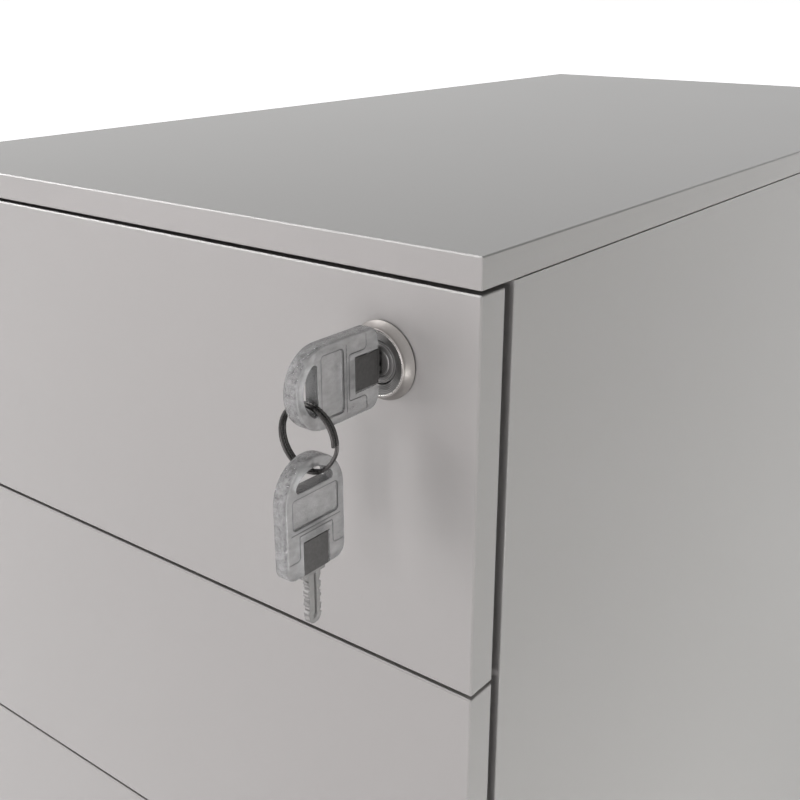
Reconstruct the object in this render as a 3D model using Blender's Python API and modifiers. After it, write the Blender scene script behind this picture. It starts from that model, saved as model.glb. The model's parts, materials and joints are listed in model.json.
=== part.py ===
"""Rolling pedestal cabinet: a slim steel drawer unit on four castors.

Metres, +Z up, +X to the right, and the drawer fronts face -Y. The origin is on
the floor, under the middle of the object's box, which the hanging key widens.
Each piece is built where it sits, and its origin is then put on its own joint.
"""

import math

import bmesh
import bpy
from mathutils import Matrix, Vector

# ---------------------------------------------------------------- dimensions
WIDTH = 0.300               # over the side panels, the top and the fronts
DEPTH = 0.560               # from the front face to the back
SHEET = 0.0010              # sheet of the carcass, the top and the fronts
BOX_SHEET = 0.0008          # sheet of the drawer boxes and the back panel
FIT = 0.0003                # clearance between pieces that touch
TOP_THICKNESS = 0.0095
TOP_EDGE_RADIUS = 0.0012
REVEAL = 0.0013             # gap above and between the drawer fronts
BASE_REVEAL = 0.0021        # from the lowest front down to the carcass base
BOX_FRONT_HEIGHT = 0.1283
FILE_FRONT_HEIGHT = 0.2579
FRONT_RETURN = 0.0117       # depth of a front's folded edges
FRONT_EDGE_RADIUS = 0.0014
SHADOW_GAP = 0.0048         # from the folded edge back to the carcass
CASTOR_HEIGHT = 0.060       # from the floor to the carcass

POST_WIDTH = 0.0125         # inward return of a side panel's front edge
POST_DEPTH = 0.025          # depth of the leg that carries the slides
SIDE_FLANGE = 0.025         # side panel's flanges at the top and the base
REAR_FLANGE = 0.012
BASE_LIP = 0.0070           # turned-up edges of the base pan
RAIL_HEIGHT = 0.012         # cross rail between the posts, under the top
RAIL_DEPTH = 0.024
UPRIGHT_SETBACK = 0.470     # front face to the rear uprights
UPRIGHT_DEPTH = 0.025

BOX_LENGTH = 0.500
BOX_LIFT = 0.008            # drawer box floor above its front's lower edge
BOX_SIDE_DROP = 0.0413      # a box's side walls below its front's upper edge
FILE_SIDE_DROP = 0.0349
FRONT_PLATE_PLAY = 0.0002   # from the box's front plate to the fold's edge
SLIDE_THICKNESS = 0.0127
SLIDE_SHEET = 0.0012
SLIDE_LENGTH = 0.480
SLIDE_SETBACK = 0.019       # front face to the slides' front ends
SLIDE_LIFT = 0.0245         # slide above its front's lower edge
SLIDE_HEIGHT = 0.035
FILE_SLIDE_HEIGHT = 0.045
SLIDE_PLAY = 0.00045        # ball clearance between nested slide members

LOCK_FROM_SIDE = 0.0340     # lock axis in from the right-hand side
LOCK_FROM_TOP = 0.0358      # and down from the top
ROSETTE_RADIUS = 0.0122
ROSETTE_RIM_RADIUS = 0.0103
ROSETTE_HEIGHT = 0.0039
ROSETTE_FOOT = 0.0006       # straight part of the rosette's edge
ROSETTE_LAND = 0.0011       # width of its bright rim
ROSETTE_RECESS = 0.0014
BARREL_RADIUS = 0.0090
BARREL_LENGTH = 0.029       # front face to the barrel's end
ROTOR_RADIUS = 0.0065
NUT_RADIUS = 0.0132         # over the corners
NUT_THICKNESS = 0.003
CAM_THICKNESS = 0.002
CAM_THROW = 0.009           # lock axis to the drive pin
CAM_PIN_RADIUS = 0.0016
CAM_EDGE = 0.0019           # plate left around the pin
LOCK_TURN = math.radians(90)

BAR_SETBACK = 0.043         # front face to the locking bar
BAR_THICKNESS = 0.002
BAR_WIDTH = 0.012
BAR_FROM_SIDE = 0.0055      # side panel's outer face to the bar
HOOK_HEIGHT = 0.008
HOOK_OVERLAP = 0.0040       # how far a hook reaches past the catch's end
HOOK_PLAY = 0.0006          # hook to catch, drawer shut
HOOK_SLIDE_GAP = 0.0028     # lowered hook to the slide below it
ARM_EDGE = 0.0024           # plate left around the arm's slot
SLOT_PLAY = 0.00055
CATCH_REACH = 0.0080
CATCH_DEPTH = 0.016
CATCH_TONGUE = 0.002
GUIDE_LENGTH = 0.020
GUIDE_WALL = 0.0022
GUIDE_LIFT = 0.020          # guide above its front's lower edge

KEY_HEAD_RADIUS = 0.0124
KEY_HEAD_LENGTH = 0.0355
KEY_HEAD_THICKNESS = 0.0050
KEY_HEAD_BEVEL = 0.0008
KEY_CORNER_RADIUS = 0.0040
KEY_HOLE_RADIUS = 0.0089
KEY_HOLE_CHORD = 0.0034     # from the head's centre to the hole's flat side
KEY_PANEL_DEPTH = 0.0006    # sunk panel on both faces, left bare
KEY_PANEL_GAP = 0.0016      # from the hole's flat side to the panel
KEY_PANEL_LENGTH = 0.0091
KEY_PANEL_MARGIN = 0.0031   # from the head's long sides to the panel
KEY_METAL = 0.0022
KEY_SHOULDER_WIDTH = 0.0104
KEY_SHOULDER_LENGTH = 0.0106
KEY_TANG_WIDTH = 0.0080
KEY_TANG_GRIP = 0.0038      # tang held inside the head
KEY_BLADE_WIDTH = 0.0056
KEY_BLADE_LENGTH = 0.0180
KEY_TIP_LENGTH = 0.0022
KEY_OUT = 0.0048            # front face to the head of the key in the lock

RING_RADIUS = 0.0098        # to the middle of the wire
RING_WIRE_RADIUS = 0.00065
RING_PITCH = 0.00175        # between the middles of the two turns
RING_CROSSING = 60          # degrees in which the wire steps across
RING_STEP = 15              # degrees between the wire's points
RING_CLEARANCE = 0.0002     # to the key's edge at its worst angle
KEY_2_OFFSET = 0.0005       # hanging key's middle, out from the ring's
KEY_2_CLEARANCE = 0.00045

TRAY_SETBACK = 0.017
TRAY_DEPTH = 0.085
TRAY_HEIGHT = 0.020
TRAY_WALL = 0.0016
TRAY_LIP = 0.0015
TRAY_PLAY = 0.0008
FILE_RAIL_THICKNESS = 0.002
FILE_RAIL_HEIGHT = 0.012
FILE_RAIL_SETBACK = 0.060
FILE_RAIL_SPACING = 0.335   # between the rails of a hanging file
FILE_RAIL_EAR = 0.0020

WHEEL_RADIUS = 0.025
WHEEL_WIDTH = 0.013
WHEEL_EDGE = 0.0022
WHEEL_DISH_RADIUS = 0.0165
WHEEL_DISH_DEPTH = 0.0025
AXLE_RADIUS = 0.0040
RUNNING_PLAY = 0.0003
WEB_HALF = 0.0075           # half the hood's web, between the wheels
WHEEL_SIDE_PLAY = 0.0006
HOOD_RADIUS = 0.0285
HOOD_INSIDE_RADIUS = 0.0262
HOOD_SKIRT = math.radians(20)
CASTOR_TRAIL = 0.018
CASTOR_FROM_SIDE = 0.050
CASTOR_FROM_END = 0.072
PLATE_SIZE = 0.040
PLATE_THICKNESS = 0.0025
STEM_RADIUS = 0.0040
STEM_DEPTH = 0.026
NECK_RADIUS = 0.0090
BRAKE_HEIGHT = 0.040        # pivot above the floor
BRAKE_BARREL_RADIUS = 0.0028
BRAKE_PIN_RADIUS = 0.0012
BRAKE_HALF_WIDTH = 0.0090
BRAKE_EAR = 0.0024
BRAKE_PEDAL = 0.0150
BRAKE_PEDAL_THICKNESS = 0.0028

ROUND_STEPS = 32
WHEEL_STEPS = 36

# ------------------------------------------------------------- derived levels
half = WIDTH / 2
lowest_front_z = CASTOR_HEIGHT + BASE_REVEAL
drawer_2_z = lowest_front_z + FILE_FRONT_HEIGHT + REVEAL
drawer_1_z = drawer_2_z + BOX_FRONT_HEIGHT + REVEAL
top_under_z = drawer_1_z + BOX_FRONT_HEIGHT + REVEAL
top_z = top_under_z + TOP_THICKNESS
carcass_top_z = top_under_z - FIT
flange_top_z = CASTOR_HEIGHT + SHEET           # upper face of a side's base flange

ring_half_width = RING_PITCH / 2 + RING_WIRE_RADIUS
hole_y_out = KEY_OUT + KEY_HEAD_LENGTH - KEY_HEAD_RADIUS   # key 1 head's centre
ring_y_out = hole_y_out + KEY_HOLE_CHORD + FIT + ring_half_width
key_reach = max(
    KEY_OUT + KEY_HEAD_LENGTH, ring_y_out + KEY_2_OFFSET + KEY_HEAD_RADIUS
)
front_y = (key_reach - DEPTH) / 2              # the drawer fronts' outer face
back_y = front_y + DEPTH
carcass_y = front_y + FRONT_RETURN + SHADOW_GAP
back_panel_y = back_y - SHEET - FIT - BOX_SHEET

post_x = half - POST_WIDTH
slide_out_x = post_x - FIT
slide_in_x = slide_out_x - SLIDE_THICKNESS
box_half = slide_in_x - FIT
wall_x = half - SHEET                          # a side panel's inner face

lock_x = half - LOCK_FROM_SIDE
lock_z = top_z - LOCK_FROM_TOP
bar_travel = 2 * CAM_THROW * math.sin(LOCK_TURN / 2)


# -------------------------------------------------------------------- drawers
class Drawer:
    """Levels of one drawer, worked out from its front's lower edge."""

    def __init__(self, name, low, front_height, side_drop, slide_height):
        self.name = name
        self.low = low
        self.high = low + front_height
        self.floor = low + BOX_LIFT
        self.side_top = self.high - side_drop
        self.slide_low = low + SLIDE_LIFT
        self.slide_high = self.slide_low + slide_height
        self.catch_z = self.slide_high + HOOK_SLIDE_GAP + bar_travel + HOOK_HEIGHT / 2


DRAWERS = (
    Drawer("drawer_1", drawer_1_z, BOX_FRONT_HEIGHT, BOX_SIDE_DROP, SLIDE_HEIGHT),
    Drawer("drawer_2", drawer_2_z, BOX_FRONT_HEIGHT, BOX_SIDE_DROP, SLIDE_HEIGHT),
    Drawer(
        "drawer_3", lowest_front_z, FILE_FRONT_HEIGHT, FILE_SIDE_DROP, FILE_SLIDE_HEIGHT
    ),
)


# ------------------------------------------------------------------ finishes
def finish(name, colour, roughness, metallic=0.0, alpha=1.0):
    """A Principled material of one colour."""
    material = bpy.data.materials.new(name)
    material.use_nodes = True
    shader = material.node_tree.nodes["Principled BSDF"]
    shader.inputs["Base Color"].default_value = (*colour, 1.0)
    shader.inputs["Roughness"].default_value = roughness
    shader.inputs["Metallic"].default_value = metallic
    shader.inputs["Alpha"].default_value = alpha
    material.diffuse_color = (*colour, alpha)
    return material


for leftover in list(bpy.data.objects):
    bpy.data.objects.remove(leftover)

light_grey = finish("painted_steel", (0.47, 0.455, 0.45), 0.45)
galvanised = finish("galvanised_steel", (0.55, 0.56, 0.57), 0.38, 1.0)
satin_metal = finish("satin_metal", (0.62, 0.61, 0.59), 0.28, 1.0)
dark_metal = finish("dark_metal", (0.12, 0.115, 0.11), 0.35, 1.0)
key_steel = finish("key_steel", (0.35, 0.34, 0.33), 0.32, 1.0)
clear_plastic = finish("clear_plastic", (0.75, 0.76, 0.77), 0.12, 0.0, 0.5)
black_plastic = finish("black_plastic", (0.03, 0.03, 0.032), 0.45)
grey_plastic = finish("grey_plastic", (0.16, 0.16, 0.165), 0.5)
tread = finish("wheel_tread", (0.05, 0.05, 0.052), 0.6)

pieces = bpy.data.collections.new("rolling_pedestal_cabinet")
cutters = bpy.data.collections.new("cutters")
for group in (pieces, cutters):
    bpy.context.scene.collection.children.link(group)


# ------------------------------------------------------------------- helpers
def add(name, mesh, material):
    """A piece of the object, or a hidden cutter where it has no material."""
    body = bpy.data.objects.new(name, mesh)
    if material is None:
        body.hide_render = True
        body.display_type = "WIRE"
        cutters.objects.link(body)
    else:
        mesh.materials.append(material)
        pieces.objects.link(body)
    return body


def mesh_of(name, bm):
    mesh = bpy.data.meshes.new(name)
    bm.to_mesh(mesh)
    bm.free()
    return mesh


def cube(low, high):
    """A bmesh cuboid between two corners."""
    low, high = Vector(low), Vector(high)
    place = Matrix.Translation((low + high) / 2) @ Matrix.Diagonal((*(high - low), 1.0))
    bm = bmesh.new()
    bmesh.ops.create_cube(bm, size=1.0, matrix=place)
    return bm


def block(name, low, high, material=None):
    return add(name, mesh_of(name, cube(low, high)), material)


def rounded(body, width, segments=2):
    bevel = body.modifiers.new("rounded_edges", "BEVEL")
    bevel.width = width
    bevel.segments = segments
    bevel.limit_method = "ANGLE"
    bevel.angle_limit = math.radians(40)
    return body


def tray(name, low, high, open_face, wall, material=None, edge_radius=0.0):
    """A folded sheet box without one face, its outside between the corners."""
    bm = cube(low, high)
    bm.normal_update()
    gone = [f for f in bm.faces if f.normal.dot(Vector(open_face)) > 0.5]
    bmesh.ops.delete(bm, geom=gone, context="FACES")
    body = add(name, mesh_of(name, bm), material)
    if edge_radius:
        rounded(body, edge_radius, 3)
    sheet = body.modifiers.new("sheet", "SOLIDIFY")
    sheet.thickness = wall
    sheet.offset = -1.0
    sheet.use_even_offset = True
    return body


def prism(name, loops, thickness, frame, material=None):
    """A flat outline with its holes, extruded about the frame's XY plane."""
    curve = bpy.data.curves.new(name, "CURVE")
    curve.dimensions = "2D"
    curve.fill_mode = "BOTH"
    curve.extrude = thickness / 2
    for loop in loops:
        spline = curve.splines.new("POLY")
        spline.points.add(len(loop) - 1)
        for point, (u, v) in zip(spline.points, loop):
            point.co = (u, v, 0.0, 1.0)
        spline.use_cyclic_u = True
    flat = bpy.data.objects.new(name + "_outline", curve)
    cutters.objects.link(flat)
    bpy.context.view_layer.update()
    mesh = bpy.data.meshes.new_from_object(
        flat.evaluated_get(bpy.context.evaluated_depsgraph_get())
    )
    bpy.data.objects.remove(flat)
    bm = bmesh.new()
    bm.from_mesh(mesh)
    bpy.data.meshes.remove(mesh)
    bmesh.ops.remove_doubles(bm, verts=bm.verts, dist=1e-6)
    bmesh.ops.transform(bm, matrix=frame, verts=bm.verts)
    bmesh.ops.recalc_face_normals(bm, faces=bm.faces)
    return add(name, mesh_of(name, bm), material)


def turned(name, profile, frame, material=None, steps=ROUND_STEPS, closed=False):
    """A (radius, height) profile turned about the frame's Z axis.

    It runs down its outer side. A closed one goes round a hollow piece.
    """
    bm = bmesh.new()
    rim = [bm.verts.new((r, 0.0, h)) for r, h in profile]
    for first, second in zip(rim, rim[1:]):
        bm.edges.new((first, second))
    if closed:
        bm.edges.new((rim[-1], rim[0]))
    body = add(name, mesh_of(name, bm), material)
    body.matrix_world = frame
    screw = body.modifiers.new("turned", "SCREW")
    screw.steps = screw.render_steps = steps
    screw.use_merge_vertices = True
    screw.merge_threshold = 1e-6
    return body


def combine(body, other, operation):
    modifier = body.modifiers.new(operation.lower(), "BOOLEAN")
    modifier.operation = operation
    modifier.object = other
    return body


def join(body, *others):
    for other in others:
        combine(body, other, "UNION")
    return body


def cut(body, *others):
    for other in others:
        combine(body, other, "DIFFERENCE")
    return body


def baked_mesh(body):
    """The finished mesh in world space, for a shape that is used again."""
    bpy.context.view_layer.update()
    mesh = bpy.data.meshes.new_from_object(
        body.evaluated_get(bpy.context.evaluated_depsgraph_get())
    )
    mesh.transform(body.matrix_world)
    for modifier in body.modifiers:
        if modifier.type == "BOOLEAN":
            bpy.data.objects.remove(modifier.object)
    bpy.data.objects.remove(body)
    return mesh


def smooth(body):
    body.data.shade_smooth()
    body.data.set_sharp_from_angle(angle=math.radians(35))
    return body


def arc(centre, radius, start, end, count):
    """Points on a circle from one angle to another, both in degrees."""
    return [
        (centre[0] + radius * math.cos(a), centre[1] + radius * math.sin(a))
        for a in (
            math.radians(start + (end - start) * i / (count - 1)) for i in range(count)
        )
    ]


def rod(name, radius, start, end, material=None, steps=ROUND_STEPS):
    """A solid cylinder from one point to another."""
    start, end = Vector(start), Vector(end)
    turn = (end - start).to_track_quat("Z", "Y").to_matrix().to_4x4()
    long = (end - start).length
    profile = [(0.0, long), (radius, long), (radius, 0.0), (0.0, 0.0)]
    return turned(name, profile, Matrix.Translation(start) @ turn, material, steps)


def axes(origin, u, v):
    """A frame with its X and Y axes along u and v."""
    u, v = Vector(u), Vector(v)
    w = u.cross(v)
    return Matrix.Translation(origin) @ Matrix((u, v, w)).transposed().to_4x4()


def pivot(name, place, parent=None):
    """An empty on a joint's axis, which its pieces hang from."""
    empty = bpy.data.objects.new(name, None)
    empty.empty_display_size = 0.01
    pieces.objects.link(empty)
    empty.location = place
    bpy.context.view_layer.update()
    if parent:
        empty.parent = parent
        empty.matrix_parent_inverse = parent.matrix_world.inverted()
        bpy.context.view_layer.update()
    return empty


def carry(parent, *bodies):
    for body in bodies:
        body.parent = parent
        body.matrix_parent_inverse = parent.matrix_world.inverted()


# ------------------------------------------------------------------- carcass
def side_panel(side):
    """A side wall with its J-shaped front post, rear return and flanges."""
    name = "side_panel_right" if side > 0 else "side_panel_left"
    leg_end = carcass_y + POST_DEPTH
    outline = [
        (half, carcass_y), (half, back_y), (half - REAR_FLANGE, back_y),
        (half - REAR_FLANGE, back_y - SHEET), (wall_x, back_y - SHEET),
        (wall_x, carcass_y + SHEET), (post_x + SHEET, carcass_y + SHEET),
        (post_x + SHEET, leg_end), (post_x, leg_end), (post_x, carcass_y),
    ]
    low, high = CASTOR_HEIGHT, carcass_top_z
    mid = Vector((0, 0, (low + high) / 2))
    frame = axes(mid, (side, 0, 0), (0, 1, 0))
    panel = prism(name, [outline], high - low, frame, light_grey)
    inner, outer = sorted((side * (half - SIDE_FLANGE), side * (half - SHEET / 2)))
    flanges = [
        block(
            f"{name}_flange_{i}",
            (inner, carcass_y + SHEET / 2, z),
            (outer, back_y - SHEET / 2, z + SHEET),
        )
        for i, z in enumerate((low, high - SHEET))
    ]
    return join(panel, *flanges)


def rear_upright(side):
    """A channel that carries the slides' rear ends, open to the side wall."""
    name = "rear_upright_right" if side > 0 else "rear_upright_left"
    near, far = sorted((side * post_x, side * (wall_x - FIT)))
    y = front_y + UPRIGHT_SETBACK
    return tray(
        name,
        (near, y, flange_top_z + FIT),
        (far, y + UPRIGHT_DEPTH, carcass_top_z - SHEET - FIT),
        (side, 0, 0), SHEET, galvanised,
    )


def base_pan():
    """The floor sheet, on the sides' flanges, with all four edges turned up."""
    low = flange_top_z + FIT
    return tray(
        "base_pan",
        (-post_x + FIT, carcass_y, low),
        (post_x - FIT, back_panel_y - FIT, low + BASE_LIP),
        (0, 0, 1), SHEET, light_grey,
    )


def front_top_rail():
    high = carcass_top_z - SHEET - FIT
    return tray(
        "front_top_rail",
        (-post_x + FIT, carcass_y, high - RAIL_HEIGHT),
        (post_x - FIT, carcass_y + RAIL_DEPTH, high),
        (0, 0, -1), SHEET, light_grey,
    )


def back_panel():
    return block(
        "back_panel",
        (-wall_x + FIT, back_panel_y, flange_top_z + FIT),
        (wall_x - FIT, back_panel_y + BOX_SHEET, carcass_top_z - SHEET - FIT),
        light_grey,
    )


def top_panel():
    return tray(
        "top_panel",
        (-half, front_y, top_under_z), (half, back_y, top_z),
        (0, 0, -1), SHEET, light_grey, TOP_EDGE_RADIUS,
    )


# -------------------------------------------------------------------- slides
def channel(name, drawer, depth_out, depth_in, inset, opens_in, side):
    """A slide member: a C in section, between two depths in from the post."""
    reach = (side * (slide_out_x - depth_out), side * (slide_out_x - depth_in))
    near, far = sorted(reach)
    y = front_y + SLIDE_SETBACK
    open_face = (-side if opens_in else side, 0, 0)
    body = block(
        name,
        (near, y, drawer.slide_low + inset),
        (far, y + SLIDE_LENGTH, drawer.slide_high - inset),
        galvanised,
    )
    hollow_near = near if open_face[0] < 0 else near + SLIDE_SHEET
    hollow_far = far if open_face[0] > 0 else far - SLIDE_SHEET
    hollow = block(
        name + "_hollow",
        (hollow_near - (SHEET if open_face[0] < 0 else 0), y - SHEET,
         drawer.slide_low + inset + SLIDE_SHEET),
        (hollow_far + (SHEET if open_face[0] > 0 else 0), y + SLIDE_LENGTH + SHEET,
         drawer.slide_high - inset - SLIDE_SHEET),
    )
    return cut(body, hollow)


def slides(drawer, side):
    """Cabinet, middle and drawer members, nested inside each other."""
    hand = "right" if side > 0 else "left"
    step = SLIDE_SHEET + SLIDE_PLAY
    cabinet = channel(
        f"{drawer.name}_slide_cabinet_{hand}", drawer,
        0, SLIDE_THICKNESS - SLIDE_PLAY, 0, True, side,
    )
    middle = None
    level = 1
    if drawer.name == "drawer_3":
        middle = channel(
            f"{drawer.name}_slide_middle_{hand}", drawer,
            step, SLIDE_THICKNESS - SLIDE_PLAY, step, True, side,
        )
        level = 2
    moving = channel(
        f"{drawer.name}_slide_drawer_{hand}", drawer,
        level * step, SLIDE_THICKNESS, level * step, False, side,
    )
    return cabinet, middle, moving


# ------------------------------------------------------------------- drawers
def drawer_front(drawer):
    """A pan folded back on all four sides; drawer 1's is bored for the lock."""
    body = tray(
        drawer.name + "_front",
        (-half, front_y, drawer.low), (half, front_y + FRONT_RETURN, drawer.high),
        (0, 1, 0), SHEET, light_grey, FRONT_EDGE_RADIUS,
    )
    if drawer is DRAWERS[0]:
        cut(body, lock_bore(drawer.name + "_front_bore"))
    return body


def lock_bore(name):
    return rod(
        name, BARREL_RADIUS + FIT,
        (lock_x, front_y - SHEET, lock_z), (lock_x, front_y + BARREL_LENGTH, lock_z),
    )


def drawer_box(drawer):
    """The box with a full-height plate that closes the front's open back."""
    plate_back = front_y + FRONT_RETURN - FRONT_PLATE_PLAY
    body = tray(
        drawer.name + "_box",
        (-box_half, plate_back - BOX_SHEET / 2, drawer.floor),
        (box_half, front_y + FRONT_RETURN + BOX_LENGTH, drawer.side_top),
        (0, 0, 1), BOX_SHEET, galvanised,
    )
    plate = block(
        drawer.name + "_plate",
        (-wall_x + FIT, plate_back - BOX_SHEET, drawer.low + SHEET + FIT),
        (wall_x - FIT, plate_back, drawer.high - SHEET - FIT),
    )
    join(body, plate)
    if drawer is DRAWERS[0]:
        cut(body, lock_bore(drawer.name + "_box_bore"))
    return body


def catch(drawer):
    """An angle on the drawer's right side, behind the locking bar's hook."""
    x = box_half + FIT
    y = front_y + BAR_SETBACK + BAR_THICKNESS + HOOK_PLAY
    low, high = drawer.catch_z - HOOK_HEIGHT / 2, drawer.catch_z + HOOK_HEIGHT / 2
    tongue = block(
        drawer.name + "_catch",
        (x, y, low), (x + CATCH_REACH, y + CATCH_TONGUE, high), galvanised,
    )
    foot = block(
        drawer.name + "_catch_foot", (x, y, low), (x + SLIDE_SHEET, y + CATCH_DEPTH, high)
    )
    return join(tongue, foot)


def pencil_tray():
    """A moulded tray that hangs by its lips on drawer 1's side walls."""
    drawer = DRAWERS[0]
    inner = box_half - BOX_SHEET - TRAY_PLAY
    y = front_y + TRAY_SETBACK
    high = drawer.side_top + FIT + TRAY_LIP
    body = tray(
        "pencil_tray",
        (-inner, y, high - TRAY_HEIGHT), (inner, y + TRAY_DEPTH, high),
        (0, 0, 1), TRAY_WALL, black_plastic,
    )
    lips = []
    for side in (-1, 1):
        near, far = sorted((side * (inner - TRAY_WALL / 2), side * box_half))
        lips.append(
            block(
                f"pencil_tray_lip_{side}",
                (near, y, drawer.side_top + FIT), (far, y + TRAY_DEPTH, high),
            )
        )
    return join(body, *lips)


def file_rail(name, setback):
    """A cross strip for hanging files, with ears on drawer 3's side walls."""
    drawer = DRAWERS[2]
    inner = box_half - BOX_SHEET - FIT
    y = front_y + setback
    ear_low = drawer.side_top + FIT
    strip = block(
        name,
        (-inner, y, ear_low + FILE_RAIL_EAR - FILE_RAIL_HEIGHT),
        (inner, y + FILE_RAIL_THICKNESS, ear_low + FILE_RAIL_EAR),
        galvanised,
    )
    ears = block(
        name + "_ears",
        (-box_half, y, ear_low),
        (box_half, y + FILE_RAIL_THICKNESS, ear_low + FILE_RAIL_EAR),
    )
    return join(strip, ears)


# ------------------------------------------------------- lock and locking bar
def lock_housing():
    """The tapered rosette and the barrel behind it, bored for the rotor."""
    rim_inner = ROSETTE_RIM_RADIUS - ROSETTE_LAND
    face = ROSETTE_HEIGHT - ROSETTE_RECESS
    bore = ROTOR_RADIUS + FIT
    profile = [
        (rim_inner, ROSETTE_HEIGHT), (ROSETTE_RIM_RADIUS, ROSETTE_HEIGHT),
        (ROSETTE_RADIUS, FIT + ROSETTE_FOOT), (ROSETTE_RADIUS, FIT),
        (BARREL_RADIUS, FIT), (BARREL_RADIUS, -BARREL_LENGTH), (bore, -BARREL_LENGTH),
        (bore, face), (rim_inner - ROSETTE_LAND / 4, face),
    ]
    return turned(
        "lock_housing", profile,
        axes((lock_x, front_y, lock_z), (1, 0, 0), (0, 0, 1)),
        satin_metal, closed=True,
    )


def lock_rotor():
    """The turning plug, slotted for the key's blade."""
    end = front_y + BARREL_LENGTH + FIT
    face = front_y - ROSETTE_HEIGHT + ROSETTE_RECESS
    body = rod(
        "lock_rotor", ROTOR_RADIUS, (lock_x, face, lock_z), (lock_x, end, lock_z), dark_metal
    )
    slot_x = KEY_METAL / 2 + FIT
    slot_z = KEY_BLADE_WIDTH / 2 + FIT
    slot = block(
        "lock_rotor_slot",
        (lock_x - slot_x, face - SHEET, lock_z - slot_z),
        (lock_x + slot_x, front_y - KEY_OUT + KEY_BLADE_LENGTH + FIT, lock_z + slot_z),
    )
    return cut(body, slot)


def lock_nut():
    y = front_y + FRONT_RETURN - FRONT_PLATE_PLAY + BOX_SHEET + FIT
    return prism(
        "lock_nut",
        [
            arc((0, 0), NUT_RADIUS, 0, 300, 6),
            arc((0, 0), BARREL_RADIUS + FIT, 0, 345, 24),
        ],
        NUT_THICKNESS,
        axes((lock_x, y + NUT_THICKNESS / 2, lock_z), (1, 0, 0), (0, 0, 1)),
        galvanised,
    )


def lock_cam():
    """The cam on the rotor's end, with the pin that lifts the locking bar."""
    near = front_y + BARREL_LENGTH + 2 * FIT
    start = math.pi + LOCK_TURN / 2
    pin = (CAM_THROW * math.cos(start), CAM_THROW * math.sin(start))
    small = CAM_PIN_RADIUS + CAM_EDGE
    lean = math.degrees(start)
    spread = math.degrees(math.acos((ROTOR_RADIUS - small) / CAM_THROW))
    outline = arc((0, 0), ROTOR_RADIUS, lean + spread, lean + 360 - spread, 20)
    outline += arc(pin, small, lean - spread, lean + spread, 10)
    plate = prism(
        "lock_cam", [outline], CAM_THICKNESS,
        axes((lock_x, near + CAM_THICKNESS / 2, lock_z), (1, 0, 0), (0, 0, 1)),
        galvanised,
    )
    x, z = lock_x + pin[0], lock_z + pin[1]
    end = front_y + BAR_SETBACK + BAR_THICKNESS + CAM_PIN_RADIUS
    drive = rod("lock_cam_pin", CAM_PIN_RADIUS, (x, near + FIT, z), (x, end, z), steps=16)
    return join(plate, drive)


def locking_bar():
    """The sliding bar: a hook for each drawer and a slotted arm for the cam."""
    drop = bar_travel / 2
    x_out = half - BAR_FROM_SIDE
    x_in = x_out - BAR_THICKNESS
    y0 = front_y + BAR_SETBACK
    y1 = y0 + BAR_THICKNESS
    slot_half = CAM_PIN_RADIUS + SLOT_PLAY
    arm_half = slot_half + ARM_EDGE
    arm_z = lock_z - drop
    lowest = DRAWERS[2].catch_z - bar_travel - HOOK_HEIGHT
    bar = block(
        "locking_bar", (x_in, y0, lowest), (x_out, y0 + BAR_WIDTH, arm_z + arm_half),
        galvanised,
    )
    hook_in = box_half + FIT + CATCH_REACH - HOOK_OVERLAP
    parts = []
    for drawer in DRAWERS:
        z = drawer.catch_z - bar_travel
        parts.append(
            block(
                drawer.name + "_hook",
                (hook_in, y0, z - HOOK_HEIGHT / 2),
                (x_in + BAR_THICKNESS / 2, y1, z + HOOK_HEIGHT / 2),
            )
        )
    near = lock_x - CAM_THROW - slot_half
    far = lock_x - CAM_THROW * math.cos(LOCK_TURN / 2) + slot_half
    parts.append(
        block(
            "locking_bar_arm",
            (near - ARM_EDGE, y0, arm_z - arm_half),
            (x_in + BAR_THICKNESS / 2, y1, arm_z + arm_half),
        )
    )
    join(bar, *parts)
    slot = block(
        "locking_bar_slot",
        (near, y0 - SHEET, arm_z - slot_half), (far, y1 + SHEET, arm_z + slot_half),
    )
    return cut(bar, slot)


def bar_guide(name, drawer):
    """A moulded guide on the side panel with a through slot for the bar."""
    x_out = half - BAR_FROM_SIDE
    x_in = x_out - BAR_THICKNESS
    y0 = front_y + BAR_SETBACK
    z = drawer.low + GUIDE_LIFT
    body = block(
        name,
        (x_in - FIT - GUIDE_WALL, y0 - FIT - GUIDE_WALL, z - GUIDE_LENGTH / 2),
        (wall_x - FIT, y0 + BAR_WIDTH + FIT + GUIDE_WALL, z + GUIDE_LENGTH / 2),
        grey_plastic,
    )
    slot = block(
        name + "_slot",
        (x_in - FIT, y0 - FIT, z - GUIDE_LENGTH),
        (x_out + FIT, y0 + BAR_WIDTH + FIT, z + GUIDE_LENGTH),
    )
    return cut(body, slot)


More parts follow.
